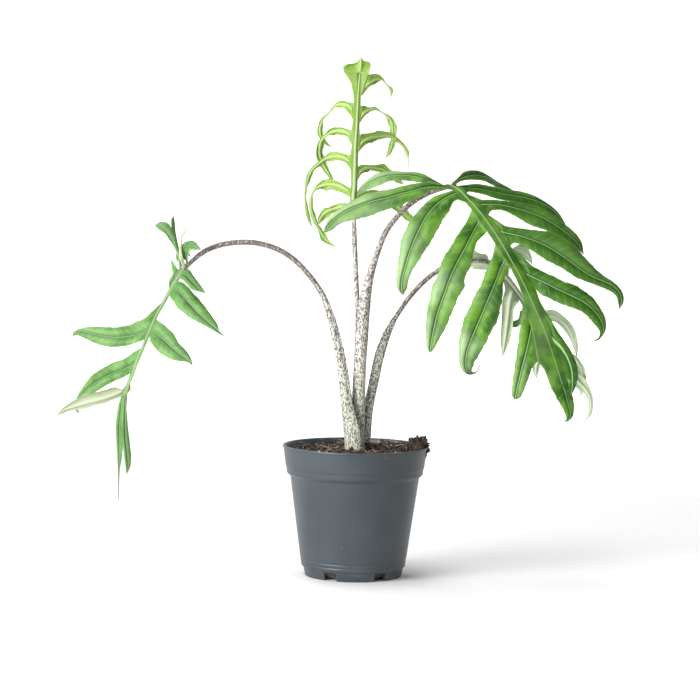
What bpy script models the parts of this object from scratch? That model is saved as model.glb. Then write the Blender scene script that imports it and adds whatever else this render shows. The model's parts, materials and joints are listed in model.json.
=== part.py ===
"""Potted alocasia: a plastic nursery pot, its soil, a short rootstock and four lobed leaves.

Metres, +Z up. The origin lies on the pot's axis, on the surface that its feet stand on.
The viewer looks along +Y, so -Y is the front of the plant and +X its right side.
"""
import math
import random

import bmesh
import bpy
import numpy as np
from mathutils import Euler, Vector

MM = 0.001
GAP = 0.3  # clearance between two touching pieces, in millimetres

# Pot, in millimetres: a 12 cm nursery pot, turned about Z
RIM_RADIUS = 60.0
RIM_TOP = 107.5
LIP_HEIGHT = 1.4
LIP_PROUD = 0.7
COLLAR_STEP_Z = 89.5
COLLAR_STEP = 0.5
COLLAR_FOOT_RADIUS = 56.2
COLLAR_FOOT_Z = 84.9
WALL_TOP_RADIUS = 53.2
WALL_TOP_Z = 82.0
WALL_FOOT_RADIUS = 43.0
WALL_FOOT_Z = 8.3
GROOVE_HEIGHTS = (14.2, 11.0)
GROOVE_DEPTH = 0.35
GROOVE_HALF = 0.6
WALL = 1.4
STEP_RISE = 0.6  # the collar's inner step lies this much above its outer one
FLOOR_UNDER = 2.0
FLOOR_TOP = 3.6
FOOT_TOP_RADIUS = 41.6
FOOT_RADIUS = 40.1
FOOT_INNER_RADIUS = 37.4
FOOT_COUNT = 6
FOOT_TURN = 3.0  # degrees that the pot is turned about its axis
NOTCH_WIDTH = 11.0
NOTCH_TOP = 6.8
NOTCH_INNER = 34.0
NOTCH_OVER = 4.0  # how far a notch cutter runs past the pot
POT_STEPS = 48

# Soil, in millimetres
SOIL_TOP = 103.0
SOIL_LEFT_DROP = 3.0
HEAP = (37.0, 2.0, 5.0, 17.0)  # x, y, height, spread
SOIL_LOW = 5.0  # the lowest hollow of the soil below its mean height
CHIP_COUNT = 13
HOLE_OVER = 3.0  # a stem's hole runs this far down into the rootstock's room
STEM_FOOT = 86.0  # height of the stems' lower ends

# Rootstock, in millimetres
ROOT_RADIUS = 16.0
ROOT_FLAT = 14.5
ROOT_HEIGHT = 32.0
ROOT_PLACE = (1.5, 5.0)

# Blades, in millimetres
BLADE = 0.8  # thickness of the leaf between its ribs
RIB = 3.0  # greatest thickness of the main rib
RIB_END = 0.5  # share of its own thickness with which a leaf's main rib ends
LOBE_RIB = 1.7
RISE = 2.6  # the blade's upper face above the line of its stem
LOBE_COLUMNS = 2  # columns of faces on each side of a lobe's rib
PETIOLE_SIDES = 12


def lobe(place, width, points, face, **shape):
    """One lobe of a blade: where it leaves the main rib (0 to 1), its full width, the points
    that its own rib passes, and the way its upper side faces in its outer half."""
    return dict(place=place, width=width, points=points, face=face, shape=shape)


# A petiole point is (x, y, z, radius). Lengths are in millimetres, as in all that follows.
LEAVES = {
    "left": dict(
        petiole=[(-3.4, -2.0, STEM_FOOT + GAP, 4.5), (-4, -2, 105, 4.7), (-8.5, -2, 146, 4.7),
                 (-14, -2, 181, 4.3), (-23.5, -4, 217, 3.2), (-32, -6, 236, 2.2),
                 (-57, -10, 263, 2.2), (-83, -14, 273, 2.2), (-109, -17, 272, 2.2),
                 (-125, -19, 266, 2.2), (-137, -20, 256, 1.7)],
        sheath=(0.05, 0.52), inner=(1, 0, 0.2),
        rachis=[(-144, -22, 247), (-152, -25, 232), (-163, -29, 211), (-172, -33, 191),
                (-180, -36, 168), (-186, -38, 150)],
        tip=lobe(1, 6, [(-189, -36, 129), (-191, -34, 100), (-190, -35, 75), (-188, -36, 61)],
                 (-0.2, -1, 0)),
        wing=1.8, rib=1.6, flare=7, web=(0.8, 0.45),
        faces=((-0.6, -0.6, 0.6), (-0.5, -0.8, 0.1)),
        shape=dict(neck=0.6, peak=0.45, taper=0.9, arch=0.14, wave=0.05, waves=1.5),
        left=[lobe(0.03, 5, [(-149, -11, 264), (-152, 2, 279), (-154, 12, 292)], (1, -0.6, 0),
                   neck=0.4),
              lobe(0.074, 9, [(-153, -19, 266), (-157, -8, 279), (-167, 0, 285)], (0.1, -1, 0.3),
                   neck=0.4, peak=0.7, taper=0.5, web=0.63),
              lobe(0.158, 6, [(-151.5, -17, 246), (-156, -14, 237)], (-0.5, -1, 0.2), web=0.7),
              lobe(0.46, 18, [(-173, -24, 204), (-190, -16, 198), (-211, -8, 196), (-228, 0, 198),
                              (-235, 4, 193)], (0, -1, 0.3)),
              lobe(0.66, 15, [(-190, -22, 171), (-203, -15, 165), (-217, -8, 155),
                              (-229, -4, 143), (-228, -5, 130)], (-0.4, -1, 0.2)),
              lobe(0.88, 15, [(-196, -36, 150), (-212, -28, 144), (-229, -22, 139),
                              (-244, -17, 130)], (-0.2, 0.7, 0.7))],
        right=[lobe(0.015, 9, [(-137, -28, 258), (-134, -35, 266), (-127, -42, 268)], (0, -1, 0.3),
                    neck=0.3),
               lobe(0.06, 5, [(-140.5, -32.5, 257), (-144, -31, 268), (-139, -36, 285)],
                    (0.9, 0.5, 0), neck=0.4, web=0.44),
               lobe(0.109, 7, [(-142.5, -32, 245.5), (-133, -38, 238), (-123, -46, 234)],
                    (0.3, -0.9, 0.5), web=0.36),
               lobe(0.218, 17, [(-143.5, -33, 234), (-135, -39, 224), (-122, -48, 212),
                                (-105, -58, 199)], (0.2, -1, 0.4), web=0.84),
               lobe(0.461, 17, [(-161, -36, 199), (-152, -43, 192), (-141, -50, 185),
                               (-128, -58, 171)], (0.1, -1, 0.4)),
               lobe(0.90, 10, [(-184, -46, 142), (-186, -50, 118), (-183, -54, 88)], (0.4, -1, 0))]),
    "upright": dict(
        petiole=[(-3.0, 9.7, STEM_FOOT + GAP, 2.9), (-3, 9.7, 105, 2.8), (-2, 9.8, 136, 2.6),
                 (-0.5, 10, 169, 2.4), (0, 10.5, 210, 2.2), (-2, 10.5, 243, 2.1),
                 (-4, 11, 276, 2.1), (-5, 12, 299, 1.7)],
        sheath=(0.0, 0.3), inner=(0, -1, 0),
        rachis=[(-6, 13, 312), (-5, 14, 328), (-4, 16, 355), (-4, 19, 383), (-3, 22, 405)],
        tip=lobe(1, 23, [(-1, 24, 416), (0, 26, 428)], (0, 1, 0.1), peak=0.5, taper=0.4),
        wing=3.2, rib=2.6, flare=8, web=(0.6, 0.6),
        faces=((0, 1, 0.15), (0, 1, -0.1)),
        shape=dict(neck=0.9, peak=0.3, taper=0.7, arch=0.12, wave=0.12, waves=3),
        left=[lobe(0.05, 8, [(-17, 18, 303), (-27, 24, 302), (-34, 28, 297), (-35, 30, 287)],
                   (0, 0.8, 0.6)),
              lobe(0.16, 7, [(-23, 20, 319), (-35, 30, 318), (-42, 38, 306), (-36, 42, 287),
                             (-29, 42, 275)], (-0.4, 0.8, 0.2)),
              lobe(0.38, 6, [(-20, 22, 343), (-34, 32, 337), (-45, 43, 321), (-46, 50, 301),
                             (-40, 52, 289)], (-0.5, 0.8, 0.2)),
              lobe(0.57, 7, [(-19, 24, 365), (-31, 31, 360), (-37, 37, 347), (-30, 41, 335),
                             (-20, 42, 325)], (-0.4, 0.8, 0.2)),
              lobe(0.77, 7, [(-17, 26, 386), (-28, 36, 378), (-36, 44, 366), (-33, 47, 357),
                             (-24, 46, 353)], (-0.4, 0.8, 0.2))],
        right=[lobe(0.12, 8, [(8, 18, 316), (21, 26, 318), (33, 32, 311), (43, 36, 292)],
                    (0.2, 0.9, 0.3)),
               lobe(0.32, 7, [(9, 20, 336), (23, 28, 338), (32, 34, 331), (37, 37, 323)],
                    (0.2, 0.9, 0.4)),
               lobe(0.55, 8, [(15, 23, 364), (26, 30, 362), (37, 35, 352), (41, 37, 335)],
                    (0.2, 0.9, 0.3)),
               lobe(0.77, 8, [(11, 26, 384), (22, 33, 378), (27, 36, 366), (21, 36, 344)],
                    (0.5, 0.8, 0.2), peak=0.65),
               lobe(0.93, 8, [(8, 26, 403), (17, 31, 408), (25, 36, 401), (22, 37, 387)],
                    (0.4, 0.8, 0.3), wave=0.05)]),
    "front": dict(
        petiole=[(3.6, 4.6, STEM_FOOT + GAP, 4.2), (3.4, 4.6, 106, 4.3), (3, 4.4, 128, 4.4),
                 (3, 3.6, 149, 4.5), (3, 2.2, 173, 4.7), (4, 1, 196, 5.0), (5.5, -1, 224, 4.9),
                 (9, -2, 246, 3.4), (14, -5, 264, 2.5), (22, -10, 285, 2.3), (38, -19, 305, 2.2),
                 (54, -25, 316, 2.2), (71, -31, 322, 1.7)],
        sheath=(0.1, 0.62), inner=(-1, 0, 0.2),
        rachis=[(79, -42, 315), (88, -51, 305), (99, -59, 293), (112, -66, 275), (124, -70, 258),
                (133, -73, 240), (142, -75, 218), (149, -76, 200)],
        tip=lobe(1, 17, [(154, -77, 186), (160, -77, 171), (166, -76, 155), (168, -74, 144),
                         (165, -71, 137)], (0.3, -1, 0.1)),
        wing=3.5, rib=3.0, flare=15, web=(0.72, 0.72),
        faces=((0.1, -0.5, 0.85), (0.4, -0.9, 0.2)),
        shape=dict(neck=0.6, peak=0.5, taper=0.75, arch=0.14, wave=0.05, waves=2),
        left=[lobe(0.019, 14, [(66, -31, 325), (53, -18, 332), (35, -6, 333), (14, 2, 331), (3, 5, 324),
                              (-3, 5, 313)], (0, 0.55, 0.85), neck=0.2, web=0.4),
              lobe(0.083, 20, [(58.5, -43, 321), (31, -45, 315), (3, -47, 305), (-17, -46, 293),
                               (-29, -42, 277)], (-0.1, -0.85, 0.5), neck=0.15,
                   web=0.31),
              lobe(0.13, 19, [(64, -52.5, 309), (49, -59, 291), (39, -63, 263), (36, -63, 235)],
                   (-0.3, -0.9, 0.3), neck=0.4, web=0.31),
              lobe(0.33, 23, [(86, -64, 279), (74, -71, 252), (63, -75, 221), (58, -76, 192)],
                   (-0.2, -1, 0.2)),
              lobe(0.55, 23, [(109, -74, 249), (96, -83, 216), (89, -85, 190), (93, -79, 174)],
                    (-0.2, -1, 0.1), taper=0.6),
              lobe(0.79, 15, [(134, -78, 206), (130, -81, 179), (126, -81, 157)],
                   (-0.1, -1, 0.1))],
        right=[lobe(0.018, 16, [(82, -26, 330), (97, -8, 334), (114, 8, 328), (126, 20, 319)],
                    (0.3, -0.4, 0.85), neck=0.3, web=0.36),
               lobe(0.09, 18, [(94.5, -40, 322.5), (122, -30, 318), (150, -20, 307), (174, -12, 285)],
                    (0.4, -0.6, 0.7), neck=0.4, web=0.66),
               lobe(0.26, 21, [(105, -52, 309), (136, -49, 305), (163, -48, 291),
                               (180, -52, 270)], (0.4, -0.7, 0.6)),
               lobe(0.43, 20, [(122, -64, 287), (157, -65, 271), (188, -68, 252),
                               (209, -68, 239), (207, -64, 227)], (0.4, -0.85, 0.4)),
               lobe(0.62, 18, [(141, -72, 251), (173, -77, 238), (192, -80, 221),
                               (191, -78, 208), (186, -76, 203)], (0.3, -0.9, 0.3)),
               lobe(0.85, 13, [(158, -80, 203), (168, -84, 187), (173, -86, 172),
                               (171, -86, 160)], (0.4, -0.9, 0.2))]),
    "right": dict(
        petiole=[(8.6, 12.6, STEM_FOOT + GAP, 3.6), (8.8, 12.6, 109, 3.7), (10.5, 13, 137, 3.8),
                 (14, 14, 157, 4.0), (19, 15, 182, 4.1), (25, 17, 200, 3.3), (31, 19, 212, 2.1),
                 (43, 23, 230, 2.1), (61, 30, 248, 2.1), (80, 36, 258, 2.1), (109, 42, 259, 1.7)],
        sheath=(0.15, 0.6), inner=(-1, 0, 0.2),
        rachis=[(119, 47, 252), (129, 53, 241), (144, 60, 221), (159, 66, 199), (173, 71, 180),
                (184, 75, 164)],
        tip=lobe(1, 11, [(193, 77, 155), (200, 79, 140), (197, 78, 121)], (0.3, 1, 0.3)),
        wing=2.6, rib=2.0, flare=9, web=(0.6, 0.6),
        faces=((-0.5, 0.9, 0), (-0.5, 0.8, -0.1)),
        shape=dict(neck=0.6, peak=0.45, taper=0.8, arch=0.14, wave=0.06, waves=2),
        left=[lobe(0.061, 12, [(107.5, 47, 264.5), (98, 42, 272), (80, 30, 276)],
                   (0.2, 0.5, 0.8), neck=0.3, web=0.31),
              lobe(0.293, 12, [(131.5, 48, 220), (127, 47, 198), (124, 47, 178)], (-0.2, 1, 0.1),
                   web=0.76),
              lobe(0.566, 6, [(136.5, 53.5, 209.5), (131, 55, 209), (127, 52, 215)],
                   (0, -0.6, 0.8), web=0.44),
              lobe(0.709, 9, [(160, 60, 185), (155, 60, 171), (153, 59, 160)], (-0.2, 1, 0.1),
                   web=0.3)],
        right=[lobe(0.05, 12, [(123.5, 50, 262), (134, 61, 267), (147, 70, 259)],
                    (0.2, 0.6, 0.8), neck=0.3, web=0.52),
               lobe(0.409, 9, [(157.5, 69.5, 221), (172, 76, 211), (182, 82, 199),
                               (188, 84, 183)], (0.4, 0.8, 0.4), web=0.3),
               lobe(0.72, 9, [(181, 79, 185), (190, 87, 170), (192, 90, 145)], (0.5, 0.8, 0.2))]),
}


def remove_everything():
    for old in list(bpy.data.objects):
        bpy.data.objects.remove(old, do_unlink=True)


def make_collection(name):
    group = bpy.data.collections.new(name)
    bpy.context.scene.collection.children.link(group)
    return group


def plain_material(name, colour, roughness, metallic=0.0):
    made = bpy.data.materials.new(name)
    made.use_nodes = True
    shader = made.node_tree.nodes["Principled BSDF"]
    shader.inputs["Base Color"].default_value = (*colour, 1.0)
    shader.inputs["Roughness"].default_value = roughness
    shader.inputs["Metallic"].default_value = metallic
    made.diffuse_color = (*colour, 1.0)
    return made


def add_object(name, mesh, group, material=None):
    made = bpy.data.objects.new(name, mesh)
    group.objects.link(made)
    if material:
        mesh.materials.append(material)
    return made


def bake_modifiers(thing):
    """Replace an object's mesh with its evaluated one and drop its modifiers."""
    graph = bpy.context.evaluated_depsgraph_get()
    mesh = bpy.data.meshes.new_from_object(thing.evaluated_get(graph))
    thing.modifiers.clear()
    thing.data = mesh
    return thing


def join_collection(thing, group, operation, solver="EXACT"):
    """Join or cut an object with all objects of a collection in one Boolean, then remove them."""
    step = thing.modifiers.new("join", "BOOLEAN")
    step.operation = operation
    step.operand_type = "COLLECTION"
    step.collection = group
    step.solver = solver
    bake_modifiers(thing)
    for used in list(group.objects):
        bpy.data.objects.remove(used, do_unlink=True)
    bpy.data.collections.remove(group)
    return thing


def shade_round(mesh, angle=40):
    mesh.shade_smooth()
    mesh.set_sharp_from_angle(angle=math.radians(angle))


def unit(vector):
    return vector / max(np.linalg.norm(vector), 1e-9)


def smoothstep(value):
    value = min(max(value, 0.0), 1.0)
    return value * value * (3 - 2 * value)


class Path:
    """A smooth curve through given points, read by its arc length."""

    def __init__(self, points, steps=24):
        points = np.array(points, float)
        chord = np.linalg.norm(np.diff(points[:, :3], axis=0), axis=1)
        knots = np.concatenate([[0], np.cumsum(np.sqrt(chord))])
        slopes = np.gradient(points, knots, axis=0)
        rows = [points[0]]
        for i in range(len(points) - 1):
            span = knots[i + 1] - knots[i]
            for k in range(1, steps + 1):
                u = k / steps
                rows.append((1 + 2 * u) * (1 - u) ** 2 * points[i] + u * (1 - u) ** 2 * span * slopes[i]
                            + u * u * (3 - 2 * u) * points[i + 1] + u * u * (u - 1) * span * slopes[i + 1])
        self.rows = np.array(rows)
        lengths = np.linalg.norm(np.diff(self.rows[:, :3], axis=0), axis=1)
        self.along = np.concatenate([[0], np.cumsum(lengths)])
        self.length = self.along[-1]
        self.knot_lengths = self.along[::steps]

    def at(self, length):
        return np.array([np.interp(length, self.along, column) for column in self.rows.T])

    def tangent(self, length):
        reach = 0.004 * self.length
        ahead = self.at(min(length + reach, self.length))[:3]
        behind = self.at(max(length - reach, 0))[:3]
        return unit(ahead - behind)


def facing(hint, tangent, previous=None):
    """The unit vector across the path that lies nearest to a hint, steadied by the previous one."""
    flat = hint - np.dot(hint, tangent) * tangent
    if previous is None:
        return unit(flat)
    carried = unit(previous - np.dot(previous, tangent) * tangent)
    share = smoothstep((np.linalg.norm(flat) / max(np.linalg.norm(hint), 1e-9) - 0.15) / 0.35)
    return unit((1 - share) * carried + share * unit(flat))


# Pot

def inner_radius(z):
    """Inside radius of the pot at a height, both in millimetres."""
    heights = (FLOOR_TOP, WALL_TOP_Z + STEP_RISE, COLLAR_FOOT_Z + STEP_RISE, RIM_TOP)
    radii = (FOOT_TOP_RADIUS - WALL, WALL_TOP_RADIUS - WALL, COLLAR_FOOT_RADIUS - WALL,
             RIM_RADIUS - LIP_PROUD - WALL)
    return float(np.interp(z, heights, radii))


def wall_radius(z):
    """Outside radius of the tapered wall below the collar."""
    share = (z - WALL_FOOT_Z) / (WALL_TOP_Z - WALL_FOOT_Z)
    return WALL_FOOT_RADIUS + share * (WALL_TOP_RADIUS - WALL_FOOT_RADIUS)


def pot_profile():
    inside = [(0, FLOOR_TOP)]
    for z in (FLOOR_TOP, WALL_TOP_Z + STEP_RISE, COLLAR_FOOT_Z + STEP_RISE, RIM_TOP - LIP_HEIGHT):
        inside.append((inner_radius(z), z))
    body = RIM_RADIUS - LIP_PROUD
    lip = [(body - WALL + 0.4, RIM_TOP), (RIM_RADIUS - 0.3, RIM_TOP), (RIM_RADIUS, RIM_TOP - 0.4),
           (RIM_RADIUS, RIM_TOP - LIP_HEIGHT), (body, RIM_TOP - LIP_HEIGHT - 0.3)]
    step_radius = COLLAR_FOOT_RADIUS + 0.4
    collar = [(step_radius + COLLAR_STEP, COLLAR_STEP_Z + 0.4), (step_radius, COLLAR_STEP_Z),
              (COLLAR_FOOT_RADIUS, COLLAR_FOOT_Z), (WALL_TOP_RADIUS, WALL_TOP_Z)]
    wall = []
    for z in GROOVE_HEIGHTS:
        wall += [(wall_radius(z + GROOVE_HALF), z + GROOVE_HALF), (wall_radius(z) - GROOVE_DEPTH, z),
                 (wall_radius(z - GROOVE_HALF), z - GROOVE_HALF)]
    foot = [(WALL_FOOT_RADIUS, WALL_FOOT_Z), (FOOT_TOP_RADIUS, WALL_FOOT_Z - 0.8), (FOOT_RADIUS, 0),
            (FOOT_INNER_RADIUS, 0), (FOOT_INNER_RADIUS, FLOOR_UNDER), (0, FLOOR_UNDER)]
    return inside + lip + collar + wall + foot


def turned(name, profile, steps, group, material=None):
    """A round piece: the profile (radius, height) in millimetres, turned by a Screw modifier."""
    mesh = bpy.data.meshes.new(name)
    points = [(r * MM, 0, z * MM) for r, z in profile]
    mesh.from_pydata(points, [(i, i + 1) for i in range(len(points) - 1)], [])
    thing = add_object(name, mesh, group, material)
    screw = thing.modifiers.new("turn", "SCREW")
    screw.steps = screw.render_steps = steps
    screw.use_merge_vertices = True
    screw.merge_threshold = 0.0001
    return bake_modifiers(thing)


def build_pot(group, material):
    pot = turned("pot", pot_profile(), POT_STEPS, group, material)
    cutters = make_collection("notch_cutters")
    reach = WALL_FOOT_RADIUS + NOTCH_OVER - NOTCH_INNER
    middle = NOTCH_INNER + reach / 2
    for i in range(FOOT_COUNT):
        angle = math.radians(FOOT_TURN + (i + 0.5) * 360 / FOOT_COUNT - 90)
        bpy.ops.mesh.primitive_cube_add(size=1)
        cutter = bpy.context.object
        cutter.scale = (reach * MM, NOTCH_WIDTH * MM, (NOTCH_TOP + NOTCH_OVER) * MM)
        cutter.rotation_euler = Euler((0, 0, angle))
        cutter.location = (middle * math.cos(angle) * MM, middle * math.sin(angle) * MM,
                           (NOTCH_TOP - NOTCH_OVER) / 2 * MM)
        for other in list(cutter.users_collection):
            other.objects.unlink(cutter)
        cutters.objects.link(cutter)
        cutter.hide_render = True
        cutter.display_type = "WIRE"
    bpy.context.view_layer.update()
    join_collection(pot, cutters, "DIFFERENCE")
    shade_round(pot.data, 35)
    return pot


# Stems

def petiole_path(leaf):
    return Path([point[:3] for point in leaf["petiole"]] + leaf["rachis"] + leaf["tip"]["points"])


def petiole_rings(leaf, swell=0.0):
    """Rings of a stem, from the soil to the blade: round above, with an open channel in its sheath."""
    path = petiole_path(leaf)
    radii = np.array([point[3] for point in leaf["petiole"]])
    stops = path.knot_lengths[:len(radii)]
    end = stops[-1] - GAP / 2
    count = max(14, int(end / 12))
    inner = np.array(leaf["inner"], float)
    sheath_from, sheath_to = (end * share for share in leaf["sheath"])
    rings = []
    across = None
    for i in range(count + 1):
        place = end * i / count
        centre = path.at(place)[:3]
        along = path.tangent(place) if i else np.array([0, 0, 1.0])
        across = facing(inner, along, across)
        side = np.cross(along, across)
        radius = np.interp(place, stops, radii)
        sheathed = smoothstep((place - sheath_from) / 25) * smoothstep((sheath_to - place) / 20)
        ring = []
        for k in range(PETIOLE_SIDES):
            turn = 2 * math.pi * k / PETIOLE_SIDES
            from_inner = abs(math.remainder(turn, 2 * math.pi))
            reach = radius * (1 - 0.28 * sheathed * math.exp(-(from_inner / 0.5) ** 2)) + swell
            ring.append(centre + reach * (math.cos(turn) * across + math.sin(turn) * side))
        rings.append(ring)
    return rings


def loft(name, rings):
    """A closed mesh through rings of equal count, with a flat cap at each end."""
    shell = bmesh.new()
    rows = [[shell.verts.new(Vector(point) * MM) for point in ring] for ring in rings]
    count = len(rings[0])
    for low, high in zip(rows, rows[1:]):
        for k in range(count):
            shell.faces.new((low[k], low[(k + 1) % count], high[(k + 1) % count], high[k]))
    shell.faces.new(rows[0][::-1])
    shell.faces.new(rows[-1])
    bmesh.ops.triangulate(shell, faces=shell.faces)
    bmesh.ops.recalc_face_normals(shell, faces=shell.faces)
    mesh = bpy.data.meshes.new(name)
    shell.to_mesh(mesh)
    shell.free()
    return mesh


def build_petiole(key, group, material):
    name = "petiole_" + key
    mesh = loft(name, petiole_rings(LEAVES[key]))
    shade_round(mesh, 60)
    return add_object(name, mesh, group, material)


# Blades

class Sheet:
    """An open surface of triangles, with a rib thickness at each point."""

    def __init__(self):
        self.points = []
        self.ribs = []
        self.faces = []

    def add(self, point, rib=BLADE):
        self.points.append(point)
        self.ribs.append(rib)
        return len(self.points) - 1

    def bridge(self, first, second, flip, first_at=None, second_at=None):
        """Fill between two rows of points with triangles, walking both rows by their places."""
        first_at = first_at or [i / max(len(first) - 1, 1) for i in range(len(first))]
        second_at = second_at or [i / max(len(second) - 1, 1) for i in range(len(second))]
        i = j = 0
        while i < len(first) - 1 or j < len(second) - 1:
            next_first = first_at[i + 1] if i < len(first) - 1 else math.inf
            next_second = second_at[j + 1] if j < len(second) - 1 else math.inf
            if next_first <= next_second:
                face = (first[i], second[j], first[i + 1])
                i += 1
            else:
                face = (first[i], second[j], second[j + 1])
                j += 1
            self.faces.append(face[::-1] if flip else face)


def lobe_width(share, neck, peak, taper):
    """Width of a lobe at a share of its length, as a share of its full width."""
    if share < peak:
        return neck + (1 - neck) * smoothstep(share / peak)
    past = (share - peak) / (1 - peak)
    return max(1 - past ** 2, 0) ** taper


def add_lobe(sheet, leaf, lobe, root, start_hint, foot, distal, flip, foot_row=None):
    """Add one lobe along its own rib, which starts at root on the main rib.

    foot is half the length of its root there, and distal the unit vector towards the blade's tip.
    foot_row is given for the end lobe, which grows from the last row of the main rib.
    Returns the first row of the lobe, from its lower to its upper edge.
    """
    shape = {**leaf["shape"], **lobe["shape"]}
    width = lobe["width"]
    path = Path([tuple(root)] + lobe["points"])
    rows = max(4, min(11, round(path.length / 9)))
    columns = LOBE_COLUMNS if width > 6 else 1
    start = 0 if foot_row else leaf["wing"] / path.length
    face = unit(np.array(lobe["face"], float))
    normal = None
    sense = None
    last = foot_row
    first = None
    for i in range(1 if foot_row else 0, rows):
        share = start + (1 - start) * i / rows
        tangent = path.tangent(share * path.length)
        toward = smoothstep(share / 0.5)
        normal = facing((1 - toward) * start_hint + toward * face, tangent, normal)
        side = np.cross(tangent, normal)
        if sense is None:
            sense = 1 if np.dot(side, distal) > 0 else -1
        fullness = lobe_width(share, shape["neck"], shape["peak"], shape["taper"])
        joined = 1 if foot_row else smoothstep(share * path.length / leaf["flare"])
        reach = (1 - joined) * foot * distal + joined * 0.5 * width * fullness * sense * side
        fade = smoothstep(share / 0.3) * smoothstep((1 - share) / 0.15)
        row = []
        for k in range(-columns, columns + 1):
            x = k / columns
            ripple = math.sin(2 * math.pi * shape["waves"] * share + 1.7 * x) * shape["wave"]
            arch = shape["arch"] * fullness * math.sin(math.pi * abs(x)) * joined
            lift = width * (arch + ripple * x * x * fade)
            rib = LOBE_RIB + (BLADE - LOBE_RIB) * share if k == 0 else BLADE
            row.append(sheet.add(path.at(share * path.length)[:3] + reach * x + normal * lift, rib))
        if last:
            sheet.bridge(last, row, flip)
        first = first or row
        last = row
    end = [sheet.add(path.at(path.length)[:3])]
    sheet.bridge(last, end, flip)
    return first


def lobe_zones(lobes, web):
    """Where each lobe's root begins and ends on the main rib, as shares of its length."""
    places = [lobe["place"] for lobe in lobes]
    middles = [(a + b) / 2 for a, b in zip(places, places[1:])]
    lows = [0.0] + middles
    highs = middles + [min(1.0, 2 * places[-1] - middles[-1])]
    zones = []
    for lobe, place, low, high in zip(lobes, places, lows, highs):
        share = lobe["shape"].get("web", web)
        zones.append((place - share * (place - low), place + share * (high - place)))
    return zones


def build_sheet(leaf):
    """The blade's upper surface: a winged main rib, a lobe at each place, and the end lobe."""
    axis = petiole_path(leaf)
    stem_count = len(leaf["petiole"])
    begin = axis.knot_lengths[stem_count - 1] + GAP / 2
    end = axis.knot_lengths[stem_count - 1 + len(leaf["rachis"])]
    length = end - begin
    face_from, face_to = (unit(np.array(face, float)) for face in leaf["faces"])
    brim = 0.8 * leaf["wing"]

    def frame_at(share):
        place = begin + share * length
        tangent = axis.tangent(place)
        normal = facing((1 - share) * face_from + share * face_to, tangent)
        return axis.at(place)[:3] + RISE * normal, tangent, normal, np.cross(tangent, normal)

    sheet = Sheet()
    count = max(10, round(length / 6))
    centre_at = [i / count for i in range(count + 1)]
    centre = []
    for share in centre_at:
        rib = leaf["rib"] * (1 + (RIB_END - 1) * share)
        centre.append(sheet.add(frame_at(share)[0], BLADE + (rib - BLADE) * smoothstep(share / 0.2)))
    ends = {}
    for lobes, web in zip((leaf["left"], leaf["right"]), leaf["web"]):
        middle_lobe = lobes[len(lobes) // 2]
        root, _, _, side = frame_at(middle_lobe["place"])
        sign = 1 if np.dot(np.array(middle_lobe["points"][0]) - root, side) > 0 else -1
        edge = []
        edge_at = []
        zones = lobe_zones(lobes, web)
        for index, (lobe, zone) in enumerate(zip(lobes, zones)):
            if index:
                gap_from = zones[index - 1][1]
                for share in (gap_from + (zone[0] - gap_from) * f for f in (1 / 3, 2 / 3)):
                    point, _, _, side = frame_at(share)
                    edge.append(sheet.add(point + sign * side * brim))
                    edge_at.append(share)
            root, tangent, normal, _ = frame_at((zone[0] + zone[1]) / 2)
            foot = (zone[1] - zone[0]) * length / 2
            row = add_lobe(sheet, leaf, lobe, root, normal, foot, tangent, sign < 0)
            edge += row
            edge_at += list(np.linspace(zone[0], zone[1], len(row)))
        point, _, _, side = frame_at(1.0)
        edge.append(sheet.add(point + sign * side * brim))
        edge_at.append(1.0)
        sheet.bridge(centre, edge, sign < 0, centre_at, edge_at)
        ends[sign] = edge[-1]
    root, _, normal, side = frame_at(1.0)
    tip = dict(leaf["tip"], points=[tuple(point + RISE * normal) for point in leaf["tip"]["points"]])
    tip["shape"] = dict(neck=2 * brim / tip["width"], **leaf["tip"]["shape"])
    add_lobe(sheet, leaf, tip, root, normal, 0, -side, False, [ends[1], centre[-1], ends[-1]])
    return sheet


def build_blade(key, group, material):
    sheet = build_sheet(LEAVES[key])
    name = "blade_" + key
    mesh = bpy.data.meshes.new(name)
    mesh.from_pydata([Vector(point) * MM for point in sheet.points], [], sheet.faces)
    blade = add_object(name, mesh, group, material)
    ribs = blade.vertex_groups.new(name="rib")
    for index, rib in enumerate(sheet.ribs):
        ribs.add([index], (rib - BLADE) / (RIB - BLADE), "REPLACE")
    solid = blade.modifiers.new("thickness", "SOLIDIFY")
    solid.thickness = RIB * MM
    solid.vertex_group = "rib"
    solid.thickness_vertex_group = BLADE / RIB
    solid.offset = -1
    shade_round(mesh, 60)
    return blade


# Soil and rootstock

def soil_height(x, y):
    """Height of the soil's top at a place, in millimetres."""
    heap_x, heap_y, heap_height, heap_spread = HEAP
    heap = heap_height * math.exp(-((x - heap_x) ** 2 + (y - heap_y) ** 2) / heap_spread ** 2)
    drop = SOIL_LEFT_DROP * smoothstep(-x / 50)
    rough = 0.8 * math.sin(0.31 * x + 1.3) * math.cos(0.27 * y) + 0.5 * math.sin(0.53 * x - 0.61 * y)
    return SOIL_TOP + heap - drop + rough


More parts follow.
